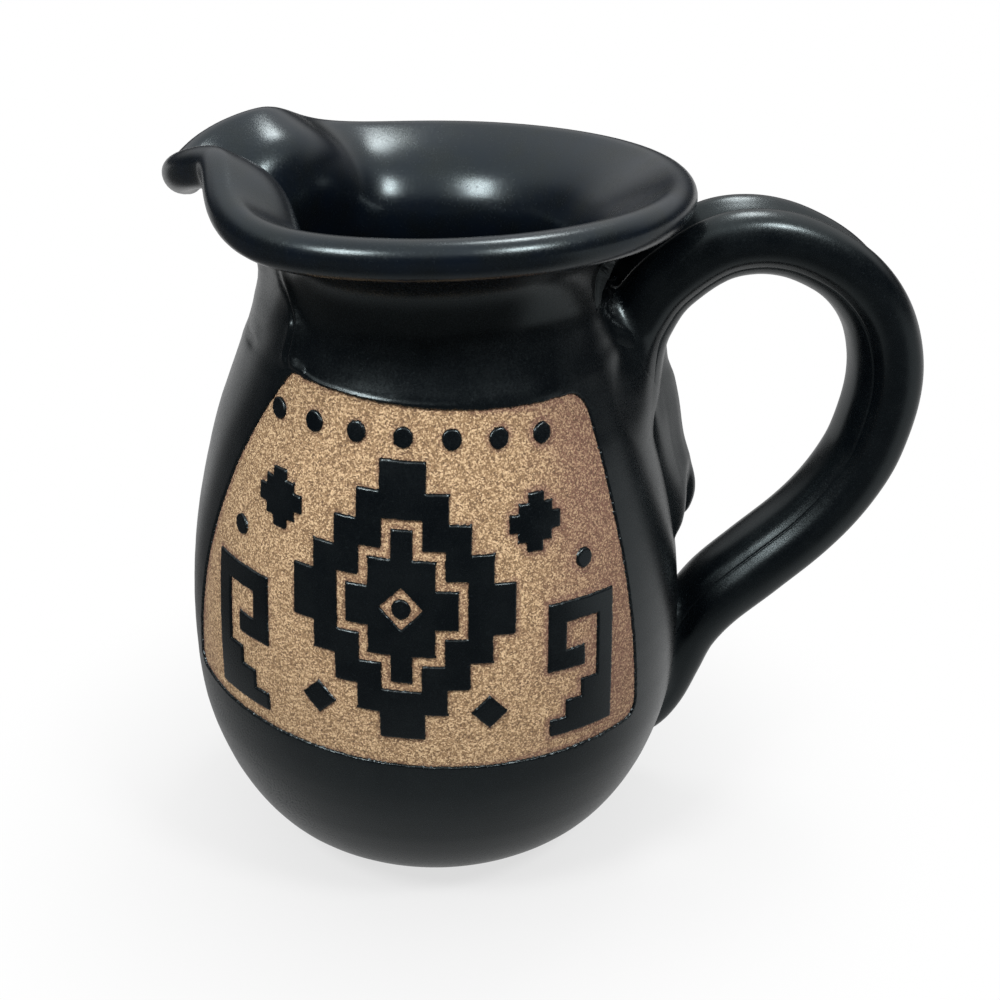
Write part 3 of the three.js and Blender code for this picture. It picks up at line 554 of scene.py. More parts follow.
class PanelForm:
    """The bare panel's outline on the pot, and the figures in it."""

    FLAT_RADIUS = 50 * MM  # radius at which the window is laid out flat
    STEPS = 5  # steps of the diamond from its middle to its tip
    FIRST_STEP = 0.91  # the lowest step's height, as a share of the others'
    STEP_RUN = 0.8  # a step's run, as a share of its rise
    CROSS = [(2.6, 0.8), (1.7, 1.7), (0.8, 2.6)]  # half widths and half heights of its steps
    # The fret's corners, out from the diamond and up.
    FRET = [
        (1.2, 0), (6, 0), (6, 9), (1, 9), (1, 4.6), (3.7, 4.6), (3.7, 5.9), (2.3, 5.9),
        (2.3, 7.7), (4.7, 7.7), (4.7, 3.6), (3.5, 3.6), (3.5, 2.4), (2.35, 2.4), (2.35, 1.2), (1.2, 1.2),
    ]
    DOTS = 7  # dots in the row under the panel's top

    def __init__(self, scene, form):
        self.panel, self.form = settings_of(scene.pitcher_panel), form
        self.window = self.window_loop()

    def flat(self, coords):
        """A turned mesh's places laid out flat: round the pot, and up."""
        angle = np.arctan2(coords[:, 0], -coords[:, 1])
        return np.stack([angle * self.FLAT_RADIUS, coords[:, 2]], axis=1)

    def window_loop(self):
        """The window's corners, laid out flat."""
        p = self.panel
        lower, upper = p.bottom_right - p.bottom_left, p.top_right - p.top_left
        corner = p.corner / MM
        low_left, low_right = p.bottom_left_height, p.bottom_right_height
        top_left, top_right = p.top_left_height, p.top_right_height
        bottom = bezier([
            (p.bottom_left + corner / 2, low_left),
            (p.bottom_left + 0.35 * lower, low_left - p.corner / 3),
            (p.bottom_left + 0.5 * lower, low_right),
            (p.bottom_right - corner, low_right),
        ], 24)
        low_corner = bezier([
            (p.bottom_right - corner, low_right),
            (p.bottom_right, low_right),
            (p.bottom_right, low_right + p.corner),
        ], 8)
        high_corner = bezier([
            (p.top_right + corner / 2, top_right - p.corner),
            (p.top_right, top_right),
            (p.top_right - corner, top_right),
        ], 8)
        top = bezier([
            (p.top_right - corner, top_right),
            (p.top_left + 0.6 * upper, top_right),
            (p.top_left + 0.4 * upper, top_right + p.corner / 3),
            (p.top_left, top_left),
        ], 20)
        left = bezier([
            (p.top_left, top_left),
            (p.left_bulge, p.left_bulge_height),
            (p.bottom_left, low_left + p.corner / 2),
        ], 20)
        loop = np.concatenate([bottom[:-1], low_corner, high_corner[:-1], top[:-1], left])
        return np.stack([np.radians(loop[:, 0]) * self.FLAT_RADIUS, loop[:, 1]], axis=1)

    def window_distance(self, coords):
        """How far places of a turned mesh are outside the window, and below nought in it."""
        flat = self.flat(coords)
        return -inside_distance(flat, [self.window]) + torn(flat, 0.16 * MM)

    def measures(self):
        """Where the figures stand: all of it follows from the panel's heights, the margin and the dots."""
        p = self.panel
        base = (p.bottom_left_height + p.bottom_right_height) / 2
        row = min(p.top_left_height, p.top_right_height) - p.margin - p.dot_radius
        top, bottom = row - p.dot_radius - p.margin, base + 2.5 * p.margin
        middle, half = (top + bottom) / 2, (top - bottom) / 2
        rise = half / (self.STEPS - 1 + self.FIRST_STEP)
        wide = self.STEPS * self.STEP_RUN * rise
        return SimpleNamespace(base=base, row=row, middle=middle, half=half, rise=rise, wide=wide)

    def stepped(self, levels, x, y):
        """A staircase outline about a centre, from pairs of half width and half height."""
        corners = []
        for i, (width, height) in enumerate(levels):
            corners += [(width, levels[i - 1][1] if i else 0.0), (width, height)]
        right = corners[1:]
        loop = right + [(-a, b) for a, b in right[::-1]] + [(-a, -b) for a, b in right]
        loop += [(a, -b) for a, b in right[::-1]]
        return np.array(loop) + (x, y)

    def diamond_levels(self, inset):
        """The diamond's staircase, drawn in by an amount, without the steps that vanish."""
        rise = self.measures().rise
        run = self.STEP_RUN * rise
        levels = []
        for step in range(self.STEPS):
            width, height = run * (self.STEPS - step) - inset, rise * (step + self.FIRST_STEP) - inset
            if width > run / 5 and height > rise / 5:
                levels.append((width, height))
        return levels

    def dot(self, x, y, radius):
        """A round dot."""
        at = np.linspace(0.0, math.tau, 40, endpoint=False)
        return np.stack([x + radius * np.cos(at), y + radius * np.sin(at)], axis=1)

    def lozenge(self, x, y, half):
        """A square on its point."""
        return np.array([(x + half, y), (x, y + half), (x - half, y), (x, y - half)])

    def fret(self, side):
        """A stepped fret whose last riser turns over into a square hook."""
        m, margin = self.measures(), self.panel.margin
        foot = m.base + 1.5 * margin
        unit = (m.middle - foot) / 9.2
        inner = m.wide + 1.8 * margin
        return np.array([(side * (inner + x * unit), foot + y * unit) for x, y in self.FRET])

    def figures(self):
        """Each figure's CAD node and its closed loops, drawn in metres along the wall and up it."""
        m, p = self.measures(), self.panel
        insets = (0.0, p.band, p.band + p.line)
        outline, inner, heart = (self.stepped(self.diamond_levels(inset), 0.0, m.middle) for inset in insets)
        loops = {
            "diamond_ring": [outline, inner],
            "diamond_heart": [heart, self.lozenge(0.0, m.middle, p.dot_radius * 1.25 + p.line)],
            "diamond_eye": [self.dot(0.0, m.middle, p.dot_radius)],
        }
        upper = m.row - m.middle
        cross = [(a * upper / 15, b * upper / 15) for a, b in self.CROSS]
        low = m.middle - m.half * 0.78
        for name, side in (("left", -m.wide), ("right", m.wide)):
            loops[f"fret_{name}"] = [self.fret(side / m.wide)]
            loops[f"cross_{name}"] = [self.stepped(cross, side * 1.17, m.middle + upper / 2)]
            loops[f"side_dot_{name}"] = [self.dot(side * 1.68, m.middle + upper * 0.22, p.dot_radius)]
            loops[f"small_diamond_{name}"] = [self.lozenge(side * 0.77, low, m.rise * 0.65)]
        pitch = math.radians(p.top_right - p.top_left) * float(self.form.wall(m.row)) / self.DOTS
        for i in range(self.DOTS):
            loops[f"row_dot_{i + 1}"] = [self.dot((i - self.DOTS // 2) * pitch, m.row, p.dot_radius)]
        return loops

    def on_pot(self, drawn):
        """Where drawn points lie on the pot, as heights and angles in degrees."""
        height = drawn[:, 1] - self.panel.slope * drawn[:, 0]
        angle = self.panel.direction + np.degrees(drawn[:, 0] / self.form.wall(height))
        return height, angle

    def drawn(self, height, angle):
        """Where points of the pot lie in the drawing: the other way round."""
        along = np.radians(angle - self.panel.direction) * self.form.wall(height)
        return np.stack([along, height + self.panel.slope * along], axis=1)


def rounded_drop(distance, radius):
    """How far a rounded edge lies below its face, at each distance from the edge."""
    near = np.clip(radius - distance, 0.0, radius)
    return radius - np.sqrt(np.maximum(radius ** 2 - near ** 2, 0.0))


class WallMarks:
    """Marks of fingers and clay on the outer wall, and how far they lift it."""

    # Each line as angles in degrees and heights in millimetres.
    CREASE = [
        (-70.0, 135.2), (-61.6, 133.6), (-57.7, 132.9), (-53.8, 132.3), (-50.9, 131.3), (-48.9, 129.9),
        (-46.3, 127.8), (-45.7, 126.1), (-45.9, 123.6), (-46.2, 121.3), (-45.8, 120.5), (-44.4, 119.9),
        (-40.6, 119.4), (-34.3, 118.3), (-20.0, 117.1), (0.0, 116.1), (20.0, 115.8), (34.0, 115.8),
    ]
    FOLD = [(-88.0, 120.4), (-80.1, 120.9), (-71.2, 121.4), (-64.5, 121.9)]
    LUTING = [(76.0, 133.4), (69.4, 132.3), (65.6, 130.4), (65.2, 127.7), (66.3, 126.0), (67.8, 125.0)]
    FLAT_RADIUS = 37.5 * MM

    def __init__(self, form, coords):
        self.spout = form.spout
        self.angle, self.height = angles(coords), coords[:, 2]
        self.flat = self.laid_out(self.angle, self.height)
        self.crease, self.along_crease = self.offset(self.CREASE)

    def laid_out(self, angle, height):
        """Angles and heights as flat places."""
        return np.stack([np.radians(angle) * self.FLAT_RADIUS, height], axis=-1)

    def offset(self, marks):
        """How far each place is to the right of a line, and how far along the line, as a share."""
        marks = np.array(marks, float)
        line, _ = along_curve(self.laid_out(marks[:, 0], marks[:, 1] * MM), 1.2 * MM)
        best, along = np.full(len(self.flat), np.inf), np.zeros(len(self.flat))
        for i, (start, end) in enumerate(zip(line, line[1:])):
            run = end - start
            step = self.flat - start
            t = np.clip(step @ run / (run @ run), 0.0, 1.0)
            rest = step - t[:, None] * run
            side = np.where(run[0] * step[:, 1] - run[1] * step[:, 0] > 0, 1.0, -1.0)
            away = np.hypot(rest[:, 0], rest[:, 1])
            closer = away < np.abs(best)
            best = np.where(closer, away * side, best)
            along = np.where(closer, (i + t) / (len(line) - 1), along)
        return best, along

    def lift(self):
        """How far all the marks lift the wall at each place."""
        return self.throat() + self.fold() + self.luting()

    def throat(self):
        """The fold beside the spout's throat. Low down it turns to follow the panel's upper edge."""
        spout, s = self.spout, self.crease
        upright = ease(self.height, 118.8 * MM, 121.0 * MM) * (self.angle < -40.0)
        upright *= 1.0 - ease(self.height, 131.5 * MM, 136 * MM)
        low = self.height < 127.5 * MM
        valley = -0.5 * spout.crease_depth * bell(s + 0.85 * MM, 0.45 * MM)
        second = 0.16 * MM * bell(s + 1.8 * MM, 0.5 * MM) * low
        swell = spout.swell * np.where(s < 0, bell(s, 8 * MM), bell(s, 1.0 * MM))
        neck = bell(self.height - 126 * MM, 5.5 * MM)
        hollow = -0.45 * MM * ease(s, 0.0, 3.5 * MM) * bell(s - 3.5 * MM, 9 * MM) * neck * (self.angle < 0)
        ridge = 0.2 * MM * bell(s, 0.42 * MM) * (1.0 - 0.4 * ease(self.along_crease, 0.45, 0.8))
        ridge *= 1.0 - ease(self.height, 131 * MM, 135 * MM)
        return (valley + second + swell) * upright + hollow + ridge

    def fold(self):
        """The short fold at the foot of the throat."""
        s, along = self.offset(self.FOLD)
        span = ease(along, 0.0, 0.2) * (1.0 - ease(along, 0.7, 1.0))
        return span * (0.35 * MM * bell(s, 0.5 * MM) - 0.5 * MM * bell(s + 1.0 * MM, 0.6 * MM))

    def luting(self):
        """The clay that was pressed on round the handle's root, with its edge and the pit at its end."""
        s, along = self.offset(self.LUTING)
        inner = -s / MM
        upper = ease(self.height, 125.5 * MM, 129 * MM) * (1.0 - ease(self.height, 137 * MM, 141 * MM))
        edge = 0.5 * ease(inner, -0.3, 0.4) * bell(inner, 6.0) + 0.22 * bell(inner, 0.4)
        edge *= ease(along, 0.0, 0.1) * (self.angle < 95)
        filled = 4.6 * ease(inner, 0.5, 9.0) * bell(self.height - 131.5 * MM, 6.5 * MM) * (self.angle > 60)
        filled *= 1.0 - ease(self.angle, 108, 122)
        pit = self.flat - self.laid_out(68.4, 124.6 * MM)
        hole = -0.6 * bell(np.hypot(pit[:, 0], pit[:, 1]), 1.0 * MM)
        return MM * ((edge + filled) * upper + hole)


def throwing_rings(height, angle):
    """The faint rings that a thrower's fingers leave."""
    z = height / MM
    lean = 0.35 * np.sin(np.radians(angle + 40.0))
    rings = np.sin(z / 1.15 + lean) + 0.6 * np.sin(z / 0.71 + 2.0 * lean)
    neck = 0.05 * ease(z, 112, 120) * (1 - ease(z, 134, 139))
    return MM * rings * (0.012 + neck)


class Value:
    """A shader socket that adds, multiplies and compares as a number does."""

    def __init__(self, finish, socket):
        self.finish, self.socket = finish, socket

    def math(self, operation, *others, swapped=False):
        """Adds a Math node of this value and others."""
        terms = [self, *others]
        if swapped:
            terms.reverse()
        node = self.finish.node("ShaderNodeMath", {"operation": operation}, dict(enumerate(terms)))
        return Value(self.finish, node.outputs[0])

    def __add__(self, other):
        return self.math("ADD", other)

    def __sub__(self, other):
        return self.math("SUBTRACT", other)

    def __mul__(self, other):
        return self.math("MULTIPLY", other)

    def __pow__(self, other):
        return self.math("POWER", other)

    def __rsub__(self, other):
        return self.math("SUBTRACT", other, swapped=True)

    __radd__, __rmul__ = __add__, __mul__

    def between(self, low, high):
        """Nought at low, one at high, held between them."""
        node = self.finish.node(
            "ShaderNodeMapRange", {"interpolation_type": "SMOOTHSTEP", "clamp": True},
            {"Value": self, "From Min": low, "From Max": high},
        )
        return Value(self.finish, node.outputs["Result"])


class Finish:
    """A material or world being written, and the one method that adds its nodes."""

    def __init__(self, owner, output="ShaderNodeOutputMaterial"):
        owner.use_nodes = True
        self.owner, self.tree = owner, owner.node_tree
        self.tree.nodes.clear()
        self.output = self.node(output)

    def node(self, kind, settings=None, sockets=None):
        """Adds a node with its settings, then the values or links of its sockets."""
        node = self.tree.nodes.new(kind)
        for name, value in (settings or {}).items():
            setattr(node, name, value)
        for key, value in (sockets or {}).items():
            socket = node.inputs[key]
            if isinstance(value, Value):
                value = value.socket
            if isinstance(value, bpy.types.NodeSocket):
                self.tree.links.new(value, socket)
            else:
                socket.default_value = value
        return node

    def coords(self):
        """Object coordinates in millimetres."""
        where = self.node("ShaderNodeTexCoord").outputs["Object"]
        scaled = self.node("ShaderNodeVectorMath", {"operation": "SCALE"}, {0: where, "Scale": 1 / MM})
        return scaled.outputs[0]

    def noise(self, coords, grain, detail, roughness):
        """Noise whose blotches are about a grain of millimetres across."""
        node = self.node("ShaderNodeTexNoise", {"noise_dimensions": "3D"}, {
            "Vector": coords, "Scale": 1 / grain, "Detail": detail, "Roughness": roughness,
        })
        return Value(self, node.outputs["Fac"])

    def grains(self, coords, size):
        """Grains of millimetres across, each with a number of its own from 0 to 1."""
        node = self.node("ShaderNodeTexVoronoi", {"voronoi_dimensions": "3D"}, {
            "Vector": coords, "Scale": 1 / size,
        })
        return self.parts(node.outputs["Color"])[0]

    def mix(self, factor, first, second):
        """A colour between two, by a factor."""
        node = self.node("ShaderNodeMix", {"data_type": "RGBA", "clamp_factor": True}, {0: factor})
        for socket, value in ((node.inputs[6], first), (node.inputs[7], second)):
            if isinstance(value, bpy.types.NodeSocket):
                self.tree.links.new(value, socket)
            else:
                socket.default_value = (*value[:3], 1.0)
        return node.outputs[2]

    def bump(self, height, distance, strength):
        """A bump of a height from 0 to 1 over a distance of millimetres."""
        node = self.node("ShaderNodeBump", None, {
            "Height": height, "Distance": distance * MM, "Strength": strength,
        })
        return node.outputs["Normal"]

    def attribute(self, name):
        """A value that a mesh carries at its vertices."""
        return Value(self, self.node("ShaderNodeAttribute", {"attribute_name": name}).outputs["Fac"])

    def light_path(self, kind):
        """One for the rays of a kind, and nought for others."""
        return Value(self, self.node("ShaderNodeLightPath").outputs[kind])

    def parts(self, vector):
        """The three parts of a vector."""
        return [Value(self, part) for part in self.node("ShaderNodeSeparateXYZ", None, {0: vector}).outputs]

    def end(self, shader):
        """Ends the material or world in a shader."""
        self.tree.links.new(shader.outputs[0], self.output.inputs["Surface"])
        return self.owner

    def surface(self, sockets):
        """Ends the material in a Principled shader."""
        return self.end(self.node("ShaderNodeBsdfPrincipled", None, sockets))


def clay_finish(settings):
    """Bare sand-blasted stoneware: sandy grains and darker patches, with painted shade near the glaze and to
    the right.
    """
    finish = Finish(bpy.data.materials.new("sandy_clay"))
    at = finish.coords()
    grains = finish.grains(at, 0.31)
    sand = finish.noise(at, 0.22, 1.0, 0.5)
    patches = finish.noise(at, 14.0, 3.0, 0.6)
    # Painted shade: the clay darkens beside the glaze edges and where the wall turns away to the sides,
    # mixed with random darker patches.
    near, side = finish.attribute("glaze_near"), finish.attribute("flush")
    shade_and_patches = (near * 0.7 + side + (patches - 0.5) * 0.9).between(0.2, 1.15)
    ground = finish.mix(shade_and_patches, settings.clay_middle, settings.clay_patches_and_shade)
    tone = grains * 0.55 + sand * 0.9
    lit = finish.mix(tone.between(0.68, 1.02) * (1.0 - shade_and_patches * 0.5), ground, settings.clay_light)
    speckled = finish.mix(tone.between(0.66, 0.4) * 0.85, lit, settings.clay_dark)
    return finish.surface({
        "Base Color": speckled,
        "Roughness": 0.92,
        "Normal": finish.bump(tone * 0.7, 0.2, 0.9),
        "IOR": 1.4,
    })


GLAZE_SHEEN = (0.82, 0.97, 1.0, 1.0)


def glaze_finish(name, deep, thin, roughness):
    """Dark satin glaze: faint mottling, fine speckle and a slightly uneven gloss."""
    finish = Finish(bpy.data.materials.new(name))
    at = finish.coords()
    mottle = finish.noise(at, 9.0, 4.0, 0.6)
    speckle = finish.noise(at, 0.5, 2.0, 0.6)
    fine = finish.noise(at, 0.3, 1.0, 0.5)
    body = finish.mix(mottle.between(0.3, 0.75), deep, thin)
    base = finish.mix(speckle.between(0.6, 0.8) * 0.5, body, [3.0 * c for c in thin])
    return finish.surface({
        "Base Color": base,
        "Roughness": roughness + (speckle - 0.5) * 0.22 + (mottle - 0.5) * 0.12,
        "Normal": finish.bump(fine * 0.6 + mottle * 0.4, 0.05, 0.35),
        "IOR": 1.42,
        "Specular Tint": GLAZE_SHEEN,
    })


def material(name):
    """A finished material by name, made when it is first asked for."""
    if name in bpy.data.materials:
        return bpy.data.materials[name]
    settings = bpy.context.scene.pitcher_finish
    if name == "sandy_clay":
        return clay_finish(settings)
    if name == "glossy_glaze":
        return glaze_finish(name, settings.liner, settings.glaze_thin, settings.liner_roughness)
    return glaze_finish(name, settings.glaze_deep, settings.glaze_thin, settings.outer_roughness)


class PITCHER_OT_clay(bpy.types.Operator):
    """Throws the clay pot that shows in the panel and at the foot"""

    bl_idname = "pitcher.clay"
    bl_label = "Clay pot"

    def execute(self, context):
        form = PotForm(context.scene)
        panel = PanelForm(context.scene, form)
        outside, inside = form.outside(1.6 * MM), form.over_rim(3 * MM)
        bm = thrown(np.concatenate([outside[:-1], inside[1:]]), 200, 0.0)
        coords = vertex_places(bm)
        in_window = (panel.window_distance(coords) < 2 * MM) & (coords[:, 2] > 20 * MM)
        refine(bm, in_window & form.on_wall(coords), 1)
        coords = vertex_places(bm)
        on_wall, distance = form.on_wall(coords), panel.window_distance(coords)
        under = form.pot.relief + 1.3 * MM * ease(distance, 0.6 * MM, 2 * MM) * on_wall
        coords -= vertex_normals(bm) * under[:, None]
        # Mask of the shade painted on the clay in the recess beside the glaze's edges and figures.
        near = np.where(on_wall, self.edge_shade_mask(panel, coords, distance), 1.0)
        # Mask of the shade painted on the clay where the wall turns away: to the right and, less, far to the
        # left.
        flush = ease(angles(coords), 0.0, 42.0) + 0.6 * ease(-angles(coords), 48.0, 70.0)
        move_vertices(bm, form.place_turned(coords))
        self.close_foot(bm, outside[0][0] - 2.6 * MM)
        piece = finish_piece(bm, "clay_pot", material("sandy_clay"), "bare_clay", "clay_body")
        extra = len(piece.data.vertices) - len(near)
        for name, values in (("glaze_near", near), ("flush", flush)):
            attribute = piece.data.attributes.new(name, "FLOAT", "POINT")
            attribute.data.foreach_set("value", np.concatenate([values, np.zeros(extra)]).astype(np.float32))
        return {"FINISHED"}

    def edge_shade_mask(self, panel, coords, distance):
        """One beside the window's edge and the figures, falling to nought away from them: the mask of the
        shade painted on the clay in the recess beside the glaze.
        """
        drawn = panel.drawn(coords[:, 2], angles(coords))
        away = -distance
        for loops in panel.figures().values():
            away = np.minimum(away, np.maximum(-inside_distance(drawn, loops), 0.0))
        return 1.0 - ease(away, 0.1 * MM, 1.6 * MM)

    def close_foot(self, bm, radius):
        """Closes the open lower edge with a bevel and a flat sole."""
        edge = [edge for edge in bm.edges if edge.is_boundary]
        bevel = bmesh.ops.extrude_edge_only(bm, edges=edge)["geom"]
        for item in bevel:
            if isinstance(item, bmesh.types.BMVert):
                item.co = (item.co.xy.normalized() * radius).to_3d()
        bmesh.ops.holes_fill(bm, edges=[item for item in bevel if isinstance(item, bmesh.types.BMEdge)])
        bmesh.ops.recalc_face_normals(bm, faces=bm.faces)


class PITCHER_OT_outer_glaze(bpy.types.Operator):
    """Dips the outside in glaze and blasts the panel's window out of it"""

    bl_idname = "pitcher.outer_glaze"
    bl_label = "Outer glaze"

    def execute(self, context):
        form = PotForm(context.scene)
        panel = PanelForm(context.scene, form)
        edge = form.pot.glaze_edge
        bm = thrown(form.outside(1.4 * MM), 240, form.spout.direction)
        self.refine_marks(bm, form, panel)
        trim(bm, panel.window_distance, edge)
        self.round_wall(bm, form)
        coords, normals = vertex_places(bm), vertex_normals(bm)
        lift = WallMarks(form, coords).lift() + throwing_rings(coords[:, 2], angles(coords))
        lift += self.bead(form, coords)
        lift -= rounded_drop(panel.window_distance(coords), edge)
        lift += self.rooted(context, form, coords, normals)
        front = form.place_turned(coords + normals * lift[:, None])
        back = form.place_turned(coords - normals * SHEET_BACK)
        close_sheet(bm, front, back)
        finish_piece(bm, "outer_glaze_skin", material("satin_glaze"), "outer_glaze", "outer_glaze")
        return {"FINISHED"}

    def refine_marks(self, bm, form, panel):
        """Makes the mesh finer at the window's edge, along the crease and by the handle's root."""
        for reach in (2.2 * MM, 1.0 * MM):
            refine(bm, np.abs(panel.window_distance(vertex_places(bm))) < reach, 1)
        marks = WallMarks(form, vertex_places(bm))
        refine(bm, (np.abs(marks.crease) < 3.2 * MM) & (marks.along_crease < 0.75), 1)
        marks = WallMarks(form, vertex_places(bm))
        root = (marks.angle > 52) & (marks.angle < 82) & (marks.height > 98 * MM) & (marks.height < 136 * MM)
        refine(bm, (np.abs(marks.crease) < 2.2 * MM) & (marks.along_crease < 0.6) | root, 1)

    def bead(self, form, coords):
        """The bead of clay under the roll, with the groove beside it."""
        inwards = radii(coords) - form.roll_point(form.ROLL_START)[0]
        bead = 0.3 * MM * bell(inwards + 3.4 * MM, 0.55 * MM) - 0.3 * MM * bell(inwards + 4.6 * MM, 0.7 * MM)
        return bead * (coords[:, 2] > form.pot.neck_height)

    def rooted(self, context, form, coords, normals):
        """How far the wall is drawn up to the handle's root."""
        strap = HandleForm(context.scene).strap()
        tree = BVHTree.FromBMesh(strap)
        strap.free()

        def off_strap(places):
            found = [tree.find_nearest(place) for place in places.tolist()]
            spots = np.array([spot[:] for spot, _, _, _ in found])
            facing = np.array([normal[:] for _, normal, _, _ in found])
            away = np.array([distance for _, _, _, distance in found])
            return np.where(((places - spots) * facing).sum(axis=1) < 0.0, -away, away)

        lift = np.zeros(len(coords))
        x, y, z = coords.T
        beside = np.flatnonzero((z > SMEAR_LOW) & (z < SMEAR_HIGH) & (x > 20 * MM) & (np.abs(y) < 28 * MM))
        away = off_strap(coords[beside])
        beside, away = beside[away < 15 * MM], away[away < 15 * MM]
        drawn = smear(coords[beside], normals[beside], off_strap)
        lift[beside] = np.minimum(drawn, SMEAR_MOST * ease(away, -2.5 * MM, 0.0))
        return lift

    def round_wall(self, bm, form):
        """Puts the vertices that cuts have added back on the round wall."""
        coords = vertex_places(bm)
        below_neck = coords[:, 2] < form.pot.neck_height
        fitted = np.where(below_neck, form.wall(coords[:, 2]), radii(coords))
        coords[:, :2] *= (fitted / radii(coords))[:, None]
        move_vertices(bm, coords)


class PITCHER_OT_liner_glaze(bpy.types.Operator):
    """Pours the glaze inside and over the rolled rim"""

    bl_idname = "pitcher.liner_glaze"
    bl_label = "Liner glaze"

    def execute(self, context):
        form = PotForm(context.scene)
        bm = thrown(form.over_rim(1.9 * MM), 240, form.spout.direction)
        coords, normals = vertex_places(bm), vertex_normals(bm)
        height = coords[:, 2]
        inside = radii(coords) < form.wall(np.minimum(height, form.UNDER_ROLL)) - 2 * MM
        rings = 0.09 * MM * np.sin(height / MM / 1.5 + 0.6 * np.sin(np.radians(angles(coords)))) * inside
        front = coords + normals * (rings * ease(height, 12 * MM, 30 * MM))[:, None]
        back = coords - normals * form.pot.relief
        close_sheet(bm, form.place_turned(front), form.place_turned(back))
        finish_piece(bm, "liner_glaze_skin", material("glossy_glaze"), "liner_glaze", "liner_glaze")
        return {"FINISHED"}


class PITCHER_OT_figures(bpy.types.Operator):
    """Leaves the raised glaze figures standing on the panel"""

    bl_idname = "pitcher.figures"
    bl_label = "Glaze figures"

    def execute(self, context):
        form = PotForm(context.scene)
        panel = PanelForm(context.scene, form)
        for node, loops in panel.figures().items():
            self.figure(form, panel, node, loops)
        return {"FINISHED"}

    def figure(self, form, panel, node, loops):
        """One figure, cut from a sheet along its outline and wrapped on the pot."""
        edge = form.pot.glaze_edge
        low, high = loops[0].min(axis=0) - 0.8 * MM, loops[0].max(axis=0) + 0.8 * MM
        columns, rows = ((high - low) / (0.42 * MM)).astype(int)
        bm = sheet(int(columns), int(rows))
        spread = vertex_places(bm)
        spread[:, :2] = low + spread[:, :2] * (high - low)
        move_vertices(bm, spread)

        def distance(places):
            return inside_distance(places[:, :2], loops) + torn(places[:, :2], 0.1 * MM)

        trim(bm, distance, edge)
        flat = vertex_places(bm)
        height, angle = panel.on_pot(flat[:, :2])
        wall = form.wall(height)
        front = form.place(wall - rounded_drop(distance(flat), edge), height, angle)
        close_sheet(bm, front, form.place(wall - SHEET_BACK, height, angle))
        finish_piece(bm, f"figure_{node}", material("satin_glaze"), "outer_glaze", node)


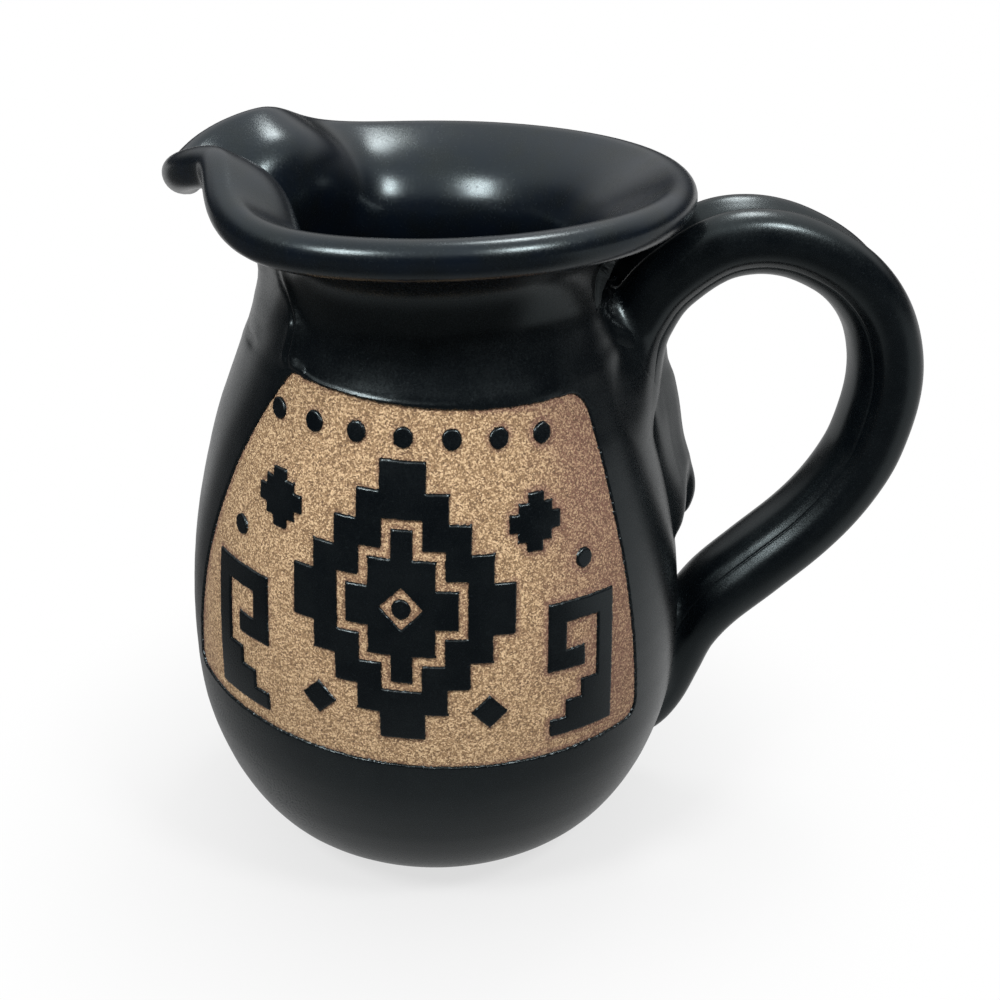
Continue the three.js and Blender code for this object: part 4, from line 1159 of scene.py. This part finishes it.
class HandleForm:
    """The pulled strap: its middle line in the plane of the handle, and its section."""

    DRAWN_GROOVE = 2.6 * MM  # the groove's depth that the section is drawn with

    # The middle line from inside the neck to the tail's end, out from the axis and up, in millimetres.
    PATH = [
        (30.0, 93.0), (36.4, 106.5), (45.2, 123.0), (51.6, 129.4), (59.1, 133.8), (66.5, 135.0),
        (73.9, 134.0), (81.0, 131.1), (87.0, 127.2), (92.0, 121.9), (95.4, 115.9), (97.5, 108.5),
        (97.9, 101.1), (96.6, 92.8), (94.1, 84.9), (89.0, 76.1), (82.2, 68.2), (72.5, 59.6),
        (63.6, 51.6), (58.2, 43.9), (55.2, 35.6), (52.2, 26.8), (48.4, 19.6), (43.4, 13.8),
    ]

    # Out and across, as shares of half the thickness and half the width.
    SECTION = [
        (1.0, -0.46), (0.94, -0.66), (0.73, -0.86), (0.37, -0.975), (0.0, -1.0), (-0.32, -0.92),
        (-0.57, -0.75), (-0.61, -0.71), (-0.66, -0.69), (-0.86, -0.52), (-1.0, -0.24), (-1.0, 0.24),
        (-0.86, 0.52), (-0.66, 0.69), (-0.61, 0.71), (-0.57, 0.75), (-0.32, 0.92), (0.0, 1.0),
        (0.50, 0.965), (0.90, 0.82), (1.02, 0.57), (0.83, 0.30), (0.64, 0.10), (0.606, 0.06),
        (0.64, 0.02), (0.80, -0.22),
    ]

    def __init__(self, scene):
        self.sizes = settings_of(scene.pitcher_handle)
        self.line, self.shares = along_curve(np.array(self.PATH) * MM, 0.95 * MM)
        ahead = np.gradient(self.line, axis=0)
        ahead /= np.linalg.norm(ahead, axis=1)[:, None]
        self.out = np.stack([-ahead[:, 1], ahead[:, 0]], axis=1)

    def sizes_along(self):
        """Half width, half thickness and the groove's share of its drawn depth at each station."""
        root, width, middle = self.sizes.root_width, self.sizes.width, self.sizes.thickness
        widths = [
            (0, root), (0.08, root), (0.2, width), (0.75, width), (0.84, width * 0.95),
            (0.93, width * 0.8), (0.975, width * 0.58), (1, width * 0.3),
        ]
        thicknesses = [
            (0, 19 * MM), (0.06, 18.5 * MM), (0.16, 15.6 * MM), (0.25, 14.7 * MM),
            (0.33, middle + 0.3 * MM), (0.42, middle + 0.3 * MM), (0.5, middle + MM), (0.66, middle + MM),
            (0.78, 14.6 * MM), (0.86, 12.6 * MM), (0.93, 11 * MM), (0.97, 8.6 * MM), (1, 3 * MM),
        ]
        grooves = [(0, 0.8), (0.05, 0.9), (0.12, 1), (0.7, 1), (0.8, 0.7), (0.9, 0.25), (1, 0)]
        half_width = smooth_through(widths, self.shares) / 2
        half_thickness = smooth_through(thicknesses, self.shares) / 2
        groove = smooth_through(grooves, self.shares) * self.sizes.groove / self.DRAWN_GROOVE
        return half_width, half_thickness, groove

    def section(self):
        """The section with four more points between each two, on a smooth closed line."""
        points = np.array(self.SECTION)
        wrapped = np.concatenate([points[-3:], points, points[:4]])
        knots = np.concatenate([[0.0], np.cumsum(np.linalg.norm(np.diff(wrapped, axis=0), axis=1) ** 0.6)])
        at = np.concatenate([np.linspace(a, b, 5)[:-1] for a, b in zip(knots[3:-4], knots[4:-3])])
        return np.stack([smooth_through(list(zip(knots, column)), at) for column in wrapped.T], axis=1)

    def strap(self):
        """The strap before its ends are smeared on."""
        section = self.section()
        half_width, half_thickness, groove = self.sizes_along()
        stations = len(self.line)
        bm = sheet(stations - 1, len(section))
        grid = vertex_places(bm)
        station = np.rint(grid[:, 0] * (stations - 1)).astype(int)
        step = np.rint(grid[:, 1] * len(section)).astype(int) % len(section)
        away, across = section[step].T
        in_groove = (away > 0.5) & (np.abs(across - 0.03) < 0.55)
        arched = np.where(in_groove, 1.02, away)
        away = (arched + (away - arched) * groove[station]) * half_thickness[station]
        across = across * half_width[station]
        open_end = np.where((station == 0) | (station == stations - 1), 0.0, 1.0)
        middle = self.line[station] + self.out[station] * (away * open_end)[:, None]
        move_vertices(bm, np.column_stack([middle[:, 0], across * open_end, middle[:, 1]]))
        bmesh.ops.remove_doubles(bm, verts=bm.verts, dist=1e-6)
        bmesh.ops.recalc_face_normals(bm, faces=bm.faces)
        return bm


class PITCHER_OT_handle(bpy.types.Operator):
    """Pulls the strap handle and smears both its ends on the pot"""

    bl_idname = "pitcher.handle"
    bl_label = "Strap handle"

    def execute(self, context):
        form = PotForm(context.scene)
        handle = HandleForm(context.scene)
        bm = handle.strap()
        places, normals = vertex_places(bm), vertex_normals(bm)
        drawn = self.rooted(form, places, normals) + self.tail(form, handle.sizes.flare, places, normals)
        move_vertices(bm, places + drawn)
        glaze = material("satin_glaze")
        finish_piece(bm, "strap_handle", glaze, "outer_glaze", "handle_strap", "lower_tail")
        return {"FINISHED"}

    def rooted(self, form, places, normals):
        """Draws the strap's upper end out to the clay smeared between it and the wall."""

        def above_wall(places):
            return form.off_wall(places)[0]

        drawn = smear(places, normals, above_wall)
        drawn *= ease(above_wall(places), -2.5 * MM, -0.5 * MM) * (places[:, 2] > SMEAR_LOW)
        return normals * drawn[:, None]

    def tail(self, form, flare, places, normals):
        """Flares the strap's lower end on the wall, as clay smeared on by a thumb."""
        above, facing = form.off_wall(places)
        sideways = normals - (normals * facing).sum(axis=1)[:, None] * facing
        reach = 0.75 * flare * (1.0 - 0.7 * ease(-places[:, 2], -32 * MM, -18 * MM))
        near = np.clip(1.0 - above / reach, 0.0, 1.0)
        push = reach * (1.0 - np.sqrt(np.maximum(1.0 - near ** 2, 0.0)))
        push *= np.clip((above + 5.0 * MM) / (3.0 * MM), 0.0, 1.0)
        return sideways * (push * (places[:, 2] < 80 * MM))[:, None]


class PITCHER_OT_thumb_pad(bpy.types.Operator):
    """Presses the spare clay under the handle's root down the wall with a thumb"""

    bl_idname = "pitcher.thumb_pad"
    bl_label = "Thumb pad"

    # The sheet's edges in millimetres: across the handle's plane, and up.
    NEAR, FAR = -17.0, 16.0
    LOW, HIGH = 64.0, 124.0
    DEPTH = 0.35  # how far its edges lie under the wall's face

    # Heights, and how far the pad's crest stands off the wall there. The lug is at its foot.
    CREST = [
        (64, -0.5), (70.4, -0.4), (71.2, 0.6), (72.4, 4.2), (74.4, 5.9), (77.4, 6.9),
        (80.5, 7.2), (84.0, 7.0), (90.6, 6.6), (98, 7.3), (101.4, 7.6), (105, 7.8),
        (108.5, 7.6), (112, 8.2), (115.2, 9.2), (118, 8.6), (121, 6), (124, 3),
    ]

    def execute(self, context):
        form = PotForm(context.scene)
        bm = sheet(72, 130)
        grid = vertex_places(bm)
        across = (self.NEAR + (self.FAR - self.NEAR) * grid[:, 0]) * MM
        height = (self.LOW + (self.HIGH - self.LOW) * grid[:, 1]) * MM
        half_width = context.scene.pitcher_handle.pad_width / MM
        lift = self.lift(half_width, across / MM, height / MM) * MM
        wall = self.wall_at(form, across, height)
        front = np.column_stack([wall + lift, across, height])
        back = np.column_stack([wall - 1.5 * MM, across, height])
        close_sheet(bm, front, back)
        bmesh.ops.recalc_face_normals(bm, faces=bm.faces)
        finish_piece(bm, "thumb_pad_smear", material("satin_glaze"), "outer_glaze", "thumb_pad")
        return {"FINISHED"}

    def wall_at(self, form, across, height):
        """How far out the wall is at the handle's side, at each distance across."""
        return np.sqrt(np.maximum(form.wall(height) ** 2 - across ** 2, 1e-8))

    def lift(self, half_width, w, z):
        """How far the pressed clay stands off the wall at places across and up, all in millimetres."""
        rooted = ease(z, 100, 116)
        near_side = half_width * (1.05 + 0.3 * rooted)
        far_side = half_width * (0.85 + 0.4 * rooted)
        offset = w - 1.6 * (1 - rooted)
        slant = 1.0 - np.clip(-offset / (near_side + 6.5), 0.0, 1.0) ** 1.15
        profile = np.where(offset < 0, slant, np.exp(-np.abs(offset / far_side) ** 2.8 * 1.6))
        pad = smooth_through(self.CREST, z) * profile
        lug = ease(z, 69, 73) * (1 - ease(z, 78, 86))
        facet = -1.5 * bell(w + 4.5 - 0.35 * (z - 72), 2.2) * lug
        hollow = -0.7 * bell(w + 5.6, 4.0) * bell(z - 92, 12)
        ridge = 0.5 * bell(w + 11.5, 1.7) * bell(z - 106, 8)
        streaks = 0.02 * np.sin(w * 2.1 + 1.9 * np.sin(z / 9) + 0.9 * np.sin(w))
        streaks *= bell(z - 92, 14) * bell(w + 2, 5)
        sides = ease(w, self.NEAR, self.NEAR + 4) * (1 - ease(w, self.FAR - 4, self.FAR))
        ends = ease(z, self.LOW, self.LOW + 2.5) * (1 - ease(z, self.HIGH - 5, self.HIGH))
        return (pad + facet + hollow + ridge + streaks + self.DEPTH) * sides * ends - self.DEPTH


class PITCHER_OT_studio(bpy.types.Operator):
    """Sets the floor, the lamps and the camera"""

    bl_idname = "pitcher.studio"
    bl_label = "Studio"

    # Each lamp's direction from the pitcher, its width in metres and the setting of its power.
    LAMPS = {
        "key_lamp": ((-0.47, -0.47, 0.74), 0.22, "key_power"),
        "side_lamp": ((0.47, -0.5, 0.74), 0.18, "side_power"),
        "back_lamp": ((0.25, 0.32, 0.91), 0.2, "back_power"),
    }
    LAMP_DISTANCE = 0.9
    LAMP_AIM = (0.0, 0.0, 0.1)
    CAMERA_PLACE = (-0.01009, -0.27813, 0.2143)
    CAMERA_TURN = (63.736, 0.0, -5.0)

    def execute(self, context):
        settings = context.scene.pitcher_studio
        self.floor(settings)
        for name, (direction, width, power) in self.LAMPS.items():
            self.lamp(name, direction, width, getattr(settings, power))
        self.world(context.scene, settings)
        self.camera(context.scene, settings)
        context.scene.view_settings.view_transform = "Standard"
        return {"FINISHED"}

    def floor(self, settings):
        """A wide pale floor that the camera sees as almost white, with the pitcher's shadow on it."""
        bm = bmesh.new()
        bmesh.ops.create_grid(bm, x_segments=1, y_segments=1, size=6.0)
        mesh = bpy.data.meshes.new("studio_floor")
        bm.to_mesh(mesh)
        bm.free()
        piece = bpy.data.objects.new("studio_floor", mesh)
        bpy.context.scene.collection.objects.link(piece)
        mesh.materials.append(self.floor_finish(settings))

    def floor_finish(self, settings):
        """White to the camera, shaded by the foot. The glaze mirrors it dark in front and bright behind."""
        finish = Finish(bpy.data.materials.new("pale_floor"))
        x, y, _ = finish.parts(finish.coords())
        seen, mirrored = finish.light_path("Is Camera Ray"), finish.light_path("Is Glossy Ray")
        apart = (x * x + y * y) ** 0.5
        greys = (settings.floor_near, settings.floor_far, settings.floor_back)
        near, far, back = ([grey] * 3 for grey in greys)
        front = finish.mix(apart.between(60.0, 200.0), near, far)
        lit = finish.mix((y + x * 0.8).between(-10.0, 90.0), front, back)
        shown = finish.mix(seen, lit, (1.0, 1.0, 1.0))
        paint = finish.node("ShaderNodeBsdfDiffuse", None, {"Color": (*settings.floor, 1.0)})
        glow = finish.node("ShaderNodeEmission", None, {"Color": shown, "Strength": 1.0})
        factor = seen * (0.7 + apart.between(40.0, 125.0) * 0.3) + mirrored
        shaders = {0: factor, 1: paint.outputs[0], 2: glow.outputs[0]}
        return finish.end(finish.node("ShaderNodeMixShader", None, shaders))

    def lamp(self, name, direction, width, power):
        """A soft square lamp that looks at the pitcher's middle."""
        data = bpy.data.lights.new(name, "AREA")
        data.shape = "SQUARE"
        data.size = width
        data.energy = power
        lamp = bpy.data.objects.new(name, data)
        towards = Vector(direction).normalized()
        lamp.location = Vector(self.LAMP_AIM) + towards * self.LAMP_DISTANCE
        lamp.rotation_euler = towards.to_track_quat("Z", "Y").to_euler()
        bpy.context.scene.collection.objects.link(lamp)

    def world(self, scene, settings):
        """Soft light from a pale ceiling and from walls behind and at the right. The camera sees white."""
        scene.world = bpy.data.worlds.new("studio_world")
        finish = Finish(scene.world, "ShaderNodeOutputWorld")
        x, y, z = finish.parts(finish.node("ShaderNodeTexCoord").outputs["Generated"])
        above = z.between(0.45, 0.85)
        behind = (y + x * 0.3).between(0.1, 0.7) * z.between(0.15, 0.45)
        light = settings.room + above * settings.ceiling + behind * (1.0 - above) * settings.wall_light
        seen = finish.light_path("Is Camera Ray")
        shown = light * (1.0 - seen) + seen
        white = {"Color": (1.0, 1.0, 1.0, 1.0), "Strength": shown}
        finish.end(finish.node("ShaderNodeBackground", None, white))

    def camera(self, scene, settings):
        """The camera at the photograph's angle."""
        data = bpy.data.cameras.new("camera")
        data.lens = settings.lens
        data.sensor_width = 36.0
        data.clip_start = 0.01
        camera = bpy.data.objects.new("camera", data)
        camera.location = self.CAMERA_PLACE
        camera.rotation_euler = [math.radians(angle) for angle in self.CAMERA_TURN]
        scene.collection.objects.link(camera)
        scene.camera = camera


class PITCHER_PT_sidebar(bpy.types.Panel):
    """Lists the pitcher's sizes and the buttons that make its pieces"""

    bl_label = "Stoneware pitcher"
    bl_idname = "PITCHER_PT_sidebar"
    bl_space_type = "VIEW_3D"
    bl_region_type = "UI"
    bl_category = "Pitcher"

    def draw(self, context):
        for name, group in GROUPS.items():
            box = self.layout.box()
            for setting in group.__annotations__:
                box.prop(getattr(context.scene, name), setting)
        for operator in OPERATORS:
            self.layout.operator(operator.bl_idname)


OPERATORS = (
    PITCHER_OT_clay,
    PITCHER_OT_outer_glaze,
    PITCHER_OT_liner_glaze,
    PITCHER_OT_figures,
    PITCHER_OT_handle,
    PITCHER_OT_thumb_pad,
    PITCHER_OT_studio,
)


def register():
    """Registers the classes and gives the scene its settings."""
    for kind in (*GROUPS.values(), *OPERATORS, PITCHER_PT_sidebar):
        bpy.utils.register_class(kind)
    for name, group in GROUPS.items():
        setattr(bpy.types.Scene, name, bpy.props.PointerProperty(type=group))


def unregister():
    """Takes the settings and the classes away again."""
    for name in GROUPS:
        delattr(bpy.types.Scene, name)
    for kind in (PITCHER_PT_sidebar, *OPERATORS[::-1], *list(GROUPS.values())[::-1]):
        bpy.utils.unregister_class(kind)


def main():
    """Makes the pitcher and its studio."""
    register()
    bpy.ops.pitcher.clay()
    bpy.ops.pitcher.outer_glaze()
    bpy.ops.pitcher.liner_glaze()
    bpy.ops.pitcher.figures()
    bpy.ops.pitcher.handle()
    bpy.ops.pitcher.thumb_pad()
    bpy.ops.pitcher.studio()


if __name__ == "__main__":
    main()
